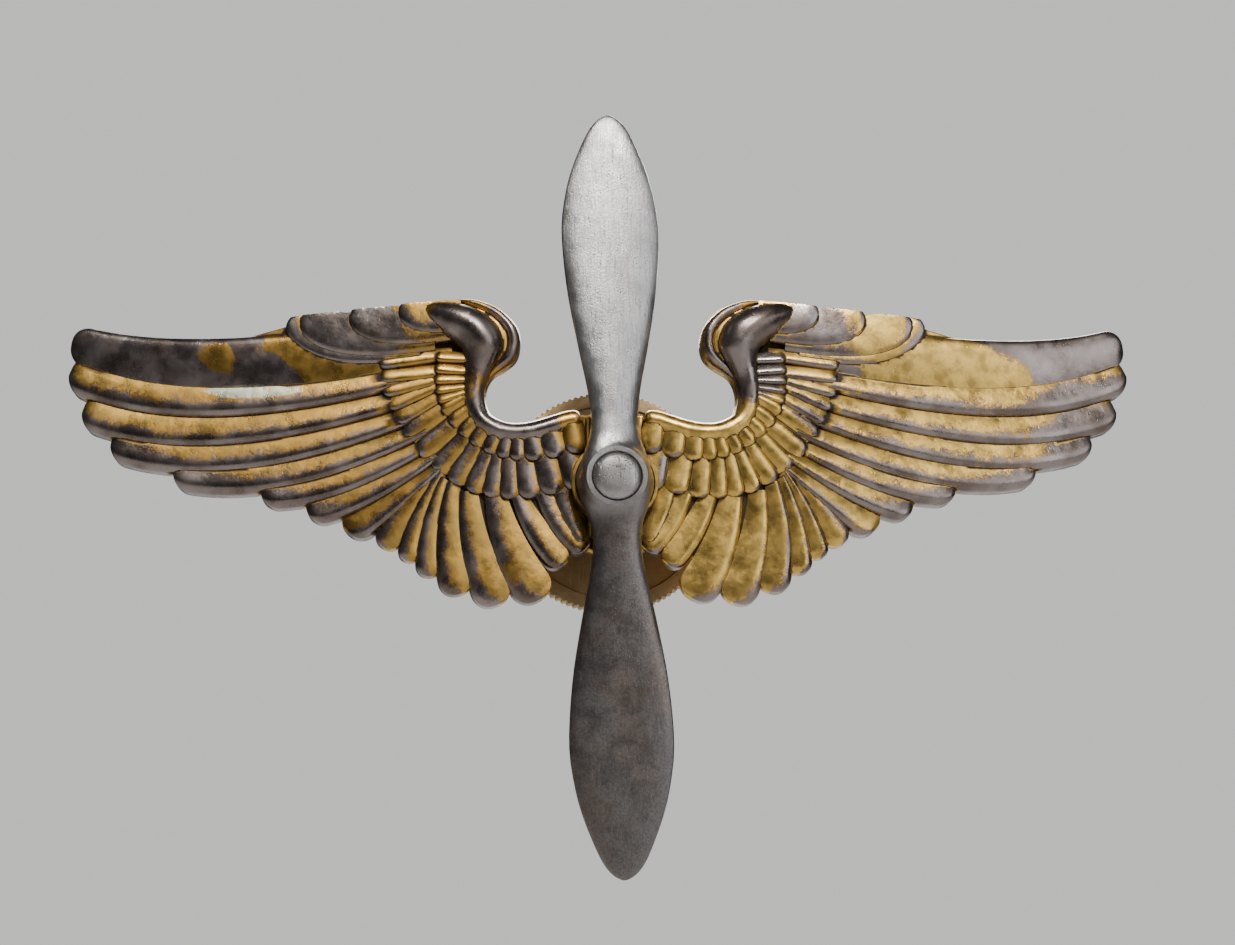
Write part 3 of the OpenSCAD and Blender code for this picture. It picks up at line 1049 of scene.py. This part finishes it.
    def tube(
        self, borders: list[tuple[Pair, Pair]], front: float, wing: Wing, worn: float
    ) -> bmesh.types.BMesh:
        """Build a rounded limb that swells and narrows between two borders.

        Args:
            borders: Pairs of places on the drawing, one on each border of the limb.
            front: How far the limb stands in front of the plate, for each unit of half width.
            wing: The wing that it is on.
            worn: How far its gilding is rubbed away.

        Returns:
            The limb.
        """
        near, far = flat([a for a, _ in borders]), flat([b for _, b in borders])
        stations, sides = 6 * len(borders), 24
        rings = []
        for i in range(stations + 1):
            a, b = glide(near, i / stations), glide(far, i / stations)
            middle, across = (a + b) / 2, (b - a) / 2
            ring = []
            for k in range(sides):
                turn = math.tau * k / sides
                p = middle + across * math.cos(turn)
                depth = self.front - 0.1 - across.length * front * math.sin(turn)
                ring.append(on_badge(Vector((p.x * wing.value, p.y)), min(depth, self.back - 0.3)))
            rings.append(ring)
        bm = lofted(rings)
        layer = add_marks(bm)[0]
        for v in bm.verts:
            high = ease(self.front - 0.2, self.front - 0.9, v.co.y)
            spots = self.gilt_map.at(Vector((abs(v.co.x), v.co.z)), wing)
            v[layer] = worn * blend(0.35, 1.0, high) + 0.5 * spots
        return bm

    def slab(self, outline: list[Vector], front: float, wing: Wing) -> bmesh.types.BMesh:
        """Build a flat layer of a wing from a smooth curve through its outline, with its front edge rounded.

        Args:
            outline: Points of the outline, in order.
            front: Depth of its front.
            wing: The wing that it is on.

        Returns:
            The layer.
        """
        closed = [*outline, outline[0]]
        count = 5 * len(outline)
        points = [glide(closed, k / count) for k in range(count)]
        slab = extruded([Vector((p.x * wing.value, p.y)) for p in points], front, self.back)
        rounded = [e for e in slab.edges if all(abs(v.co.y - front) < 1e-4 for v in e.verts)]
        bmesh.ops.bevel(
            slab, geom=rounded, offset=0.18, segments=3, profile=0.5, affect="EDGES", material=-1
        )
        add_marks(slab, 0.3)
        return slab

    def layers(self, wing: Wing) -> list[bmesh.types.BMesh]:
        """Build the layers that one wing's feathers stand on.

        Args:
            wing: The wing.

        Returns:
            The plate, and a step for each covert row.
        """
        edge = [
            (-0.5, 5.1), (2.6, 5.15), (4.4, 4.9), (5.5, 4.5), (6.7, 4.4), (7.8, 4.6), (8.6, 5.3),
            (8.85, 6.2), (8.75, 7.2), (8.3, 8.0), (7.5, 8.5), (6.7, 9.2), (6.4, 10.2), (6.6, 11.4),
            (7.4, 12.6), (8.6, 13.4), (10.0, 13.65), (12.8, 13.45), (14.9, 13.2), (16.6, 12.95),
            (19.1, 12.8), (21.2, 12.6), (22.3, 12.0), (30.0, 9.6), (32.0, 7.0), (29.0, 2.0), (22.0, 0.0),
            (17.0, -1.5), (14.0, -3.8), (11.5, -5.5), (9.0, -6.0), (6.5, -5.6), (4.5, -4.4), (2.4, -4.5),
            (-0.5, -4.4),
        ]
        steps = [self.slab(row.bed(), row.base + 0.06, wing) for row in self.covert_rows()]
        return [self.slab(flat(edge), self.front - 0.02, wing), *steps]

    def seat_outline(self, grow: float) -> list[Vector]:
        """Return the outline of the hub and the two necks beside it.

        Args:
            grow: How far it is grown outwards.

        Returns:
            The outline's points, in order.
        """
        radius, half = self.hub_radius + grow, self.neck_half + grow
        corner = math.acos(half / radius)
        points = []
        for start in (-1, 1):
            for k in range(13):
                a = blend(-corner, corner, k / 12)
                points.append(Vector((radius * math.cos(a), radius * math.sin(a))) * start)
            points += [Vector((side * half, self.neck_reach)) * start for side in (1, -1)]
        return points

    def limbs(self, wing: Wing) -> list[bmesh.types.BMesh]:
        """Build the arm with the knuckle at its wrist, the rolled rim round the knuckle, and its bed.

        Args:
            wing: The wing that they are on.

        Returns:
            The three limbs.
        """
        arm = [
            ((14.35, 13.0), (14.4, 13.15)), ((13.4, 12.1), (12.9, 13.4)), ((12.5, 11.3), (11.3, 13.35)),
            ((11.7, 10.65), (9.7, 12.95)), ((11.1, 10.2), (8.4, 12.05)), ((10.75, 9.8), (7.7, 10.9)),
            ((10.55, 9.4), (7.6, 9.9)), ((10.5, 8.8), (8.0, 9.0)), ((10.6, 8.1), (8.5, 8.1)),
            ((10.7, 7.2), (8.85, 7.1)), ((10.68, 6.2), (8.88, 6.1)), ((10.4, 5.0), (8.6, 5.2)),
            ((9.7, 3.9), (8.0, 4.75)), ((8.5, 3.1), (7.2, 4.5)), ((7.0, 2.85), (6.3, 4.5)),
            ((5.5, 2.95), (5.3, 4.7)), ((4.1, 3.35), (4.2, 5.05)), ((3.1, 3.75), (3.2, 5.35)),
            ((2.4, 3.95), (2.5, 5.35)), ((2.08, 4.5), (2.1, 4.75)),
        ]
        rim = [
            ((11.2, 13.5), (11.2, 13.6)), ((9.9, 13.05), (9.8, 13.6)), ((8.75, 12.4), (8.3, 13.1)),
            ((7.95, 11.7), (7.25, 12.3)), ((7.5, 10.9), (6.55, 11.3)), ((7.45, 10.1), (6.4, 10.1)),
            ((7.8, 9.3), (6.8, 9.0)), ((8.45, 8.6), (7.9, 8.25)), ((8.9, 7.7), (8.8, 7.6)),
        ]
        bed = [
            ((11.2, 12.4), (11.2, 13.4)), ((9.9, 11.8), (9.5, 13.2)), ((9.2, 11.2), (8.0, 12.6)),
            ((8.9, 10.6), (7.1, 11.5)), ((8.9, 10.0), (6.95, 10.2)), ((9.0, 9.3), (7.3, 9.1)),
            ((9.2, 8.4), (8.5, 8.1)),
        ]
        made = [(arm, 1.15, wing, 0.95), (rim, 1.5, wing, 0.8), (bed, 0.5, wing, 0.1)]
        return [self.tube(*limb) for limb in made]

    def seat_shape(self, grow: float, front: float, back: float) -> bmesh.types.BMesh:
        """Build a solid of the seat's outline, with its lower half marked dark as painted shadow.

        Args:
            grow: How far the outline is grown outwards.
            front: Depth of its front.
            back: Depth of its back.

        Returns:
            The solid.
        """
        shape = extruded(self.seat_outline(grow), front, back)
        groove = add_marks(shape, 0.1)[1]
        # The seat's lower half takes the dark groove colour: painted shadow below the hub.
        for v in shape.verts:
            if v.co.z < -1:
                v[groove] = 0.9
        return shape

    def grime_and_shade(self, wings: bmesh.types.BMesh) -> None:
        """Mark the points that lie in a groove, where two faces meet in a sharp valley, for dirt and painted
        shade.

        Args:
            wings: The struck plate.
        """
        # Points in sharp valleys get the dark groove colour: dirt and painted shade in the creases.
        layer = wings.verts.layers.float[Mark.GROOVE.value]
        wings.normal_update()
        for edge in wings.edges:
            if edge.is_manifold and edge.calc_face_angle_signed() < -math.radians(self.valley):
                for v in edge.verts:
                    if v.co.y < self.back - 0.2:
                        v[layer] = 1.0

    def bow(self, wings: bmesh.types.BMesh) -> None:
        """Cut the plate's long faces at even steps across it, and curve it back towards both wing tips.

        Args:
            wings: The struck plate.
        """
        for i in range(-18, 19):
            geom = wings.verts[:] + wings.edges[:] + wings.faces[:]
            bmesh.ops.bisect_plane(wings, geom=geom, plane_co=(i * self.bow_step, 0, 0), plane_no=(1, 0, 0))
        for v in wings.verts:
            v.co.y += v.co.x**2 / (2 * self.bow_radius)

    def build(self) -> bmesh.types.BMesh:
        """Build the struck plate with both wings and the seat.

        Returns:
            The wings, in millimetres.
        """
        shells = []
        inner = self.back - 0.04
        for wing in Wing:
            shells += self.layers(wing)
            shells += [v.shell(inner, self.gilt_map, wing) for v in self.flight_feathers()]
            small = self.leaves() + [v for row in self.covert_rows() for v in row.feathers()]
            shells += [v.shell(inner - 0.1, self.gilt_map, wing) for v in small]
            shells += self.limbs(wing)
        pad = self.seat_shape(self.seat_gap + self.seat_rim, self.seat - 0.35, self.back - 0.2)
        hollow = self.seat_shape(self.seat_gap, self.seat - 3, self.seat)
        for v in pad.verts:
            if abs(v.co.z) > 3:
                v.co.z *= 0.8 if v.co.z < 0 else 1.0
                v.co.x *= 0.96
        wings = combined(shells[0], [*shells[1:], pad], "UNION")
        hole = spun([(0, -9), (self.post_hole, -9), (self.post_hole, 2), (0, 2)], 48)
        wings = combined(wings, [hollow, hole], "DIFFERENCE")
        self.grime_and_shade(wings)
        self.bow(wings)
        return wings

    def dress(self, wings: bmesh.types.BMesh, shop: Shop) -> bpy.types.Object:
        """Give the wings their worn gilding and set them in the frame."""
        return deliver(wings, "struck_wings", "wing_plate", "badge", WornGilt().build(shop), 40)


# ---------------------------------------------------------------- the propeller


@dataclass
class Propeller:
    """The two-bladed propeller and its tapered hub."""

    blade_width: float = 7.0
    twist: float = 12.0
    squareness: float = 0.85
    hub_height: float = 2.3
    hub_base: float = 2.75
    hub_face: float = 2.3
    bore: float = 1.2
    head_seat: float = 1.65

    def __post_init__(self) -> None:
        """Take the length and the seat from the CAD part's box."""
        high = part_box("propeller")[1]
        self.reach = high.z / MM
        self.seat = high.y / MM
        self.middle = self.seat - 0.95
        self.face = self.seat - self.hub_height

    def blade(self, hand: int) -> bmesh.types.BMesh:
        """Build one blade, from stations of reach, width and thickness behind and in front.

        Args:
            hand: 1 for the upper blade and -1 for the lower one.

        Returns:
            The blade.
        """
        stations = [
            (0.03, 0.72, 0.95, 1.27), (0.065, 0.68, 0.85, 1.22), (0.095, 0.585, 0.85, 1.08),
            (0.125, 0.50, 0.85, 0.96), (0.16, 0.475, 0.85, 0.88), (0.21, 0.505, 0.82, 0.85),
            (0.26, 0.57, 0.8, 0.80), (0.31, 0.65, 0.76, 0.77), (0.37, 0.74, 0.72, 0.72),
            (0.48, 0.89, 0.64, 0.64), (0.59, 0.98, 0.56, 0.56), (0.69, 1.0, 0.5, 0.5),
            (0.78, 0.90, 0.45, 0.45), (0.84, 0.78, 0.42, 0.42), (0.89, 0.64, 0.38, 0.38),
            (0.94, 0.475, 0.33, 0.33), (0.97, 0.34, 0.28, 0.28), (0.99, 0.19, 0.2, 0.2),
            (1.0, 0.04, 0.08, 0.08),
        ]
        rows = [Vector(row) for row in stations]
        steps, sides, power = 48, 28, self.squareness
        rings = []
        for i in range(steps + 1):
            z, wide, back, front = glide(rows, i / steps)
            turn = math.radians(self.twist * (1 - 0.8 * z))
            rearmost = self.seat if z < 0.2 else math.inf
            ring = []
            for k in range(sides):
                a = math.tau * k / sides
                c, s = math.cos(a), math.sin(a)
                u = math.copysign(abs(c) ** power, c) * wide * self.blade_width / 2
                v = math.copysign(abs(s) ** power, s) * (back if s > 0 else front)
                x = u * math.cos(turn) - v * math.sin(turn)
                y = self.middle + u * math.sin(turn) + v * math.cos(turn)
                ring.append(Vector((x * hand, min(y, rearmost), z * self.reach * hand)))
            rings.append(ring)
        return lofted(rings)

    def fillet(self, solid: bmesh.types.BMesh) -> None:
        """Smooth the joint between the hub and the blades.

        Args:
            solid: The hub and the blades in one.
        """
        joint = []
        for v in solid.verts:
            near_hub = self.hub_face < math.hypot(v.co.x, v.co.z) < self.hub_base + 0.9
            if near_hub and self.face + 0.15 < v.co.y < self.seat - 0.2:
                joint.append(v)
        every_way = {"use_axis_x": True, "use_axis_y": True, "use_axis_z": True}
        for _ in range(6):
            bmesh.ops.smooth_vert(solid, verts=joint, factor=0.5, **every_way)

    def build(self) -> bmesh.types.BMesh:
        """Build the propeller, drilled and counterbored for the post.

        Returns:
            The propeller, in millimetres.
        """
        face, seat, wide, narrow = self.face, self.seat, self.hub_base, self.hub_face
        hub = spun(
            [
                (0, seat), (wide, seat), (wide, seat - 0.5), (wide - 0.12, seat - 1.1),
                (narrow + 0.14, face + 0.42), (narrow + 0.02, face + 0.16), (narrow - 0.2, face), (0, face),
            ],
            96,
        )
        solid = combined(hub, [self.blade(1), self.blade(-1)], "UNION")
        self.fillet(solid)
        drill = spun([(0, -9), (self.bore, -9), (self.bore, 0), (0, 0)], 64)
        sink, mouth = self.head_seat, self.head_seat + 0.12
        counterbore = spun(
            [
                (0, -9), (mouth, -9), (mouth, face + 0.1), (sink, face + 0.22), (sink, face + 0.6),
                (0, face + 0.6),
            ],
            64,
        )
        return combined(solid, [drill, counterbore], "DIFFERENCE")

    def dress(self, solid: bmesh.types.BMesh, shop: Shop) -> bpy.types.Object:
        """Give the propeller its silver and set it in the frame."""
        return deliver(solid, "silver_propeller", "propeller", "badge", OldSilver().build(shop), 32)


# ---------------------------------------------------------------- the post, its collar and the prongs


@dataclass
class Post:
    """The screw post with its peened head, the collar round its root, and the two prongs."""

    radius: float = 2.08
    tenon: float = 1.2
    head: float = 1.65
    spigot: float = 1.6
    sink: float = 0.4
    shank: float = 2.0
    relief: float = 0.4
    pitch: float = 0.794
    thread_depth: float = 0.42
    prong_radius: float = 0.55

    def __post_init__(self) -> None:
        """Take the two ends of the post from the CAD part's box."""
        low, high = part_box("screw_post")
        self.front, self.end = low.y / MM, high.y / MM
        self.collar_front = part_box("post_collar")[0].y / MM

    def screw(self) -> bmesh.types.BMesh:
        """Build the post, with a true helical thread on its free end.

        Returns:
            The post, in millimetres.
        """
        root = self.radius - self.thread_depth
        start = self.shank + self.relief
        spigot = self.spigot - 0.02
        core = spun(
            [
                (0, self.front), (0.7, self.front + 0.01), (1.2, self.front + 0.06),
                (1.5, self.front + 0.17), (self.head, self.front + 0.36), (self.head, self.front + 0.85),
                (self.tenon, self.front + 0.85), (self.tenon, self.collar_front),
                (spigot, self.collar_front), (spigot, 0), (self.radius, 0), (self.radius, self.shank - 0.1),
                (self.radius - 0.35, self.shank + 0.05), (root, start), (root, self.end - 0.12),
                (root - 0.15, self.end), (0, self.end),
            ],
            72,
        )
        turns, steps = (self.end - start - 0.35 - self.pitch) / self.pitch, 40
        inside, crest = root - 0.12, self.radius - 0.02
        tooth = bmesh.new()
        corners = [(inside, 0), (inside, 0.78), (crest, 0.46), (crest, 0.32)]
        verts = [tooth.verts.new((r, start + 0.05 + y * self.pitch, 0)) for r, y in corners]
        face = tooth.faces.new(verts)
        bmesh.ops.spin(
            tooth, geom=[face], cent=(0, 0, 0), axis=(0, 1, 0), dvec=(0, self.pitch / steps, 0),
            angle=math.tau * turns, steps=int(steps * turns), use_merge=False,
        )
        close_up(tooth)
        return combined(core, [tooth], "UNION")

    def collar(self) -> bmesh.types.BMesh:
        """Build the collar with broken edges, countersunk at the back round the post.

        Returns:
            The collar, in millimetres.
        """
        outer, inner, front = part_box("post_collar")[1].x / MM, self.spigot, self.collar_front
        return spun(
            [
                (inner, front), (outer - 0.05, front), (outer, front + 0.08), (outer, -0.12),
                (outer - 0.12, 0), (self.radius + 0.1, 0), (inner, -self.sink),
            ],
            96,
        )

    def prong(self, node: str) -> bmesh.types.BMesh:
        """Build one prong on its pad, where its CAD part stands.

        Args:
            node: The prong's CAD node.

        Returns:
            The prong, in millimetres.
        """
        low, high = (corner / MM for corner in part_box(node))
        foot, tip = low.y, high.y
        pad, shaft = (high.x - low.x) / 2, self.prong_radius
        bm = spun(
            [
                (0, foot), (pad, foot), (pad - 0.05, foot + 0.28), (pad - 0.25, foot + 0.38),
                (shaft + 0.14, foot + 0.42), (shaft + 0.02, foot + 0.6), (shaft, foot + 0.8),
                (shaft, tip - 1.2), (shaft * 0.8, tip - 0.85), (0.14, tip - 0.04), (0, tip),
            ],
            40,
        )
        bmesh.ops.translate(bm, verts=bm.verts, vec=((low.x + high.x) / 2, 0, (low.z + high.z) / 2))
        return bm

    def dress(self, shop: Shop) -> None:
        """Build the post, the collar and the prongs, and give each its metal and its place in the frame.

        Args:
            shop: The shared node groups.
        """
        deliver(self.screw(), "threaded_post", "screw_post", "badge", POST_METAL.build(shop))
        brass = BACK_BRASS.build(shop)
        deliver(self.collar(), "seat_collar", "post_collar", "badge", brass)
        for side in ("left", "right"):
            node = f"{side}_prong"
            deliver(self.prong(node), f"{side}_locating_prong", node, "badge", brass)


# ---------------------------------------------------------------- the nut


@dataclass
class Nut:
    """The knurled disc nut and the tapped bushing in its middle."""

    teeth: int = 112
    knurl_depth: float = 0.12
    disc_bore: float = 3.0
    lip_seat: float = 3.4
    lip: float = 3.35
    thread_bore: float = 2.13
    land: float = 1.1
    groove: Pair = (5.0, 5.4)

    def __post_init__(self) -> None:
        """Take the disc's and the bushing's places from their CAD parts' boxes."""
        low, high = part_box("nut_disc")
        self.front, self.back, self.radius = low.y / MM, high.y / MM, high.x / MM
        low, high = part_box("nut_bushing")
        self.bushing_front, self.bushing_back, self.flange = low.y / MM, high.y / MM, high.x / MM

    def disc(self) -> bmesh.types.BMesh:
        """Build the disc with a fine straight knurl, a shallow dish on its front and a groove on its back.

        Returns:
            The disc, in millimetres.
        """
        bm = bmesh.new()
        corners = 4
        bmesh.ops.create_circle(bm, segments=self.teeth * corners, radius=self.radius, cap_ends=True)
        upright = Matrix.Rotation(math.pi / 2, 3, "X")
        bmesh.ops.rotate(bm, verts=bm.verts, cent=(0, 0, 0), matrix=upright)
        bmesh.ops.translate(bm, verts=bm.verts, vec=(0, self.front, 0))
        valley = [v for v in bm.verts if v.index % corners in (2, 3)]
        shrink = 1 - self.knurl_depth / self.radius
        bmesh.ops.scale(bm, vec=(shrink, 1, shrink), verts=valley)
        made = bmesh.ops.extrude_face_region(bm, geom=bm.faces[:])["geom"]
        moved = [v for v in made if isinstance(v, bmesh.types.BMVert)]
        bmesh.ops.translate(bm, verts=moved, vec=(0, self.back - self.front, 0))
        close_up(bm)
        rims = [e for e in bm.edges if abs(e.verts[0].co.y - e.verts[1].co.y) < 1e-4]
        bmesh.ops.bevel(bm, geom=rims, offset=0.08, segments=2, profile=0.5, affect="EDGES", material=-1)
        dish, dish_floor, lip_floor = self.radius - self.land, self.front + 0.2, self.front + 0.35
        near, far = self.groove
        behind, rim, bottom = self.back + 1, self.back - 0.03, self.back - 0.12
        profiles = [
            [(0, 0), (dish + 0.1, 0), (dish + 0.1, self.front), (dish, dish_floor), (0, dish_floor)],
            [(0, 0), (self.lip_seat, 0), (self.lip_seat, lip_floor), (0, lip_floor)],
            [(0, 0), (self.disc_bore, 0), (self.disc_bore, behind), (0, behind)],
            [
                (near, behind), (near, rim), (near + 0.12, bottom), (far - 0.12, bottom), (far, rim),
                (far, behind),
            ],
        ]
        return combined(bm, [spun(profile, 96) for profile in profiles], "DIFFERENCE")

    def bushing(self) -> bmesh.types.BMesh:
        """Build the bushing with its staked lip, its flange and a chamfered bore.

        Returns:
            The bushing, in millimetres.
        """
        bore, lip, body, flange = self.thread_bore, self.lip, self.disc_bore - 0.05, self.flange
        front, back = self.bushing_front, self.bushing_back
        lip_back, flange_front = self.front + 0.3, self.back + 0.05
        return spun(
            [
                (bore, front + 0.25), (bore + 0.25, front), (lip - 0.2, front), (lip, front + 0.05),
                (lip, lip_back), (body, lip_back), (body, flange_front), (flange, flange_front),
                (flange, back - 0.45), (flange - 0.1, back - 0.2), (flange - 0.4, back), (bore + 0.3, back),
                (bore, back - 0.3),
            ],
            96,
        )

    def dress(self, shop: Shop) -> None:
        """Build the disc and the bushing, and give each its brass and its place in the frame.

        Args:
            shop: The shared node groups.
        """
        deliver(self.disc(), "knurled_nut", "nut_disc", "nut", NUT_BRASS.build(shop))
        deliver(self.bushing(), "tapped_bushing", "nut_bushing", "bushing", BUSHING_BRASS.build(shop))


# ---------------------------------------------------------------- the studio


@dataclass(frozen=True)
class Studio:
    """A pale floor, soft lights and the camera, in millimetres and degrees."""

    left_turn: float = 4.8
    below: float = 13.4
    roll: float = -1.29
    distance: float = 133.3
    aim: tuple[float, float, float] = (0.25, -2.0, 0.88)
    lens: float = 55.7
    lamp_distance: float = 300.0
    floor_half: float = 600.0
    floor_drop: float = 45.0
    floor_colour: Colour = (0.6, 0.59, 0.58)
    backdrop: Colour = (0.72, 0.72, 0.71)
    low_light: Colour = (0.012, 0.012, 0.014)
    high_light: Colour = (0.095, 0.097, 0.103)

    def camera(self) -> None:
        """Stand the camera a little to the left of the badge and below it, looking up at the hub."""
        yaw, pitch, roll = (math.radians(a) for a in (self.left_turn, self.below, self.roll))
        back = Vector((-math.sin(yaw) * math.cos(pitch), -math.cos(yaw) * math.cos(pitch), -math.sin(pitch)))
        right = (-back).cross(Vector((0, 0, 1))).normalized()
        up = back.cross(right)
        turned = right * math.cos(roll) + up * math.sin(roll)
        raised = up * math.cos(roll) - right * math.sin(roll)
        data = bpy.data.cameras.new("camera")
        data.lens, data.sensor_width, data.clip_start = self.lens, 36.0, 0.005
        camera = bpy.data.objects.new("camera", data)
        bpy.context.scene.collection.objects.link(camera)
        place = Matrix.Translation((Vector(self.aim) + back * self.distance) * MM)
        camera.matrix_world = place @ Matrix((turned, raised, back)).transposed().to_4x4()
        bpy.context.scene.camera = camera

    def light(self, name: str, place: Pair, size: Pair, power: float, colour: Colour) -> None:
        """Hang a soft light that faces the badge.

        Args:
            name: The light's name.
            place: Its azimuth and elevation from the badge, in degrees.
            size: Its two sides, in millimetres.
            power: Its power in watts.
            colour: Its colour.
        """
        azimuth, elevation = (math.radians(a) for a in place)
        level = math.cos(elevation)
        way = Vector((math.sin(azimuth) * level, -math.cos(azimuth) * level, math.sin(elevation)))
        data = bpy.data.lights.new(name, "AREA")
        data.shape, data.size, data.size_y = "RECTANGLE", size[0] * MM, size[1] * MM
        data.energy, data.color = power, colour
        lamp = bpy.data.objects.new(name, data)
        lamp.location = way * self.lamp_distance * MM
        lamp.rotation_mode = "QUATERNION"
        lamp.rotation_quaternion = way.to_track_quat("Z", "Y")
        bpy.context.scene.collection.objects.link(lamp)

    def floor(self) -> None:
        """Lay the pale floor below the badge, lit a little where the camera sees it."""
        bm = bmesh.new()
        bmesh.ops.create_grid(bm, x_segments=1, y_segments=1, size=self.floor_half * MM)
        bmesh.ops.translate(bm, verts=bm.verts, vec=(0, 0, -self.floor_drop * MM))
        floor = as_object(bm, "floor")
        material, g = start_material("pale_floor")
        seen = g.add("ShaderNodeLightPath").outputs["Is Camera Ray"]
        glow = {"Emission_Color": rgba(self.backdrop), "Emission_Strength": g.math("MULTIPLY", seen, 0.62)}
        look = {"Base_Color": rgba(self.floor_colour), "Roughness": 0.9, **glow}
        shader = g.add("ShaderNodeBsdfPrincipled", None, **look)
        g.add("ShaderNodeOutputMaterial", None, Surface=shader.outputs[0])
        floor.data.materials.append(material)

    def room(self) -> None:
        """Fill the room with even light that is dimmer from below, behind a pale backdrop."""
        world = bpy.data.worlds.new("room")
        bpy.context.scene.world = world
        world.use_nodes = True
        world.node_tree.nodes.clear()
        g = Graph(world.node_tree)
        way = g.add("ShaderNodeTexCoord").outputs["Generated"]
        up = g.add("ShaderNodeSeparateXYZ", None, Vector=way).outputs[2]
        seen = g.add("ShaderNodeLightPath").outputs["Is Camera Ray"]
        glow = g.mix(g.ramp(up, -0.6, 0.7), rgba(self.low_light), rgba(self.high_light))
        colour = g.mix(seen, glow, rgba(self.backdrop))
        shader = g.add("ShaderNodeBackground", None, Color=colour, Strength=1.0)
        g.add("ShaderNodeOutputWorld", None, Surface=shader.outputs[0])

    def build(self) -> None:
        """Set up the camera, the floor, the room and the lights."""
        self.camera()
        self.floor()
        self.room()
        self.light("key", (-6, 50), (80, 50), 0.38, (1.0, 0.96, 0.9))
        self.light("spark", (14, 38), (22, 22), 0.45, (1.0, 0.98, 0.95))
        self.light("fill", (40, 12), (160, 160), 0.2, (0.95, 0.97, 1.0))
        self.light("back", (170, 35), (200, 160), 1.5, (1.0, 1.0, 1.0))


def main() -> None:
    """Build the studio and every piece of the badge, in order."""
    logging.basicConfig(level=logging.INFO, format="%(message)s")
    Studio().build()
    shop = Shop()
    wings = Wings()
    wings.dress(wings.build(), shop)
    propeller = Propeller()
    propeller.dress(propeller.build(), shop)
    Post().dress(shop)
    Nut().dress(shop)


if __name__ == "__main__":
    main()
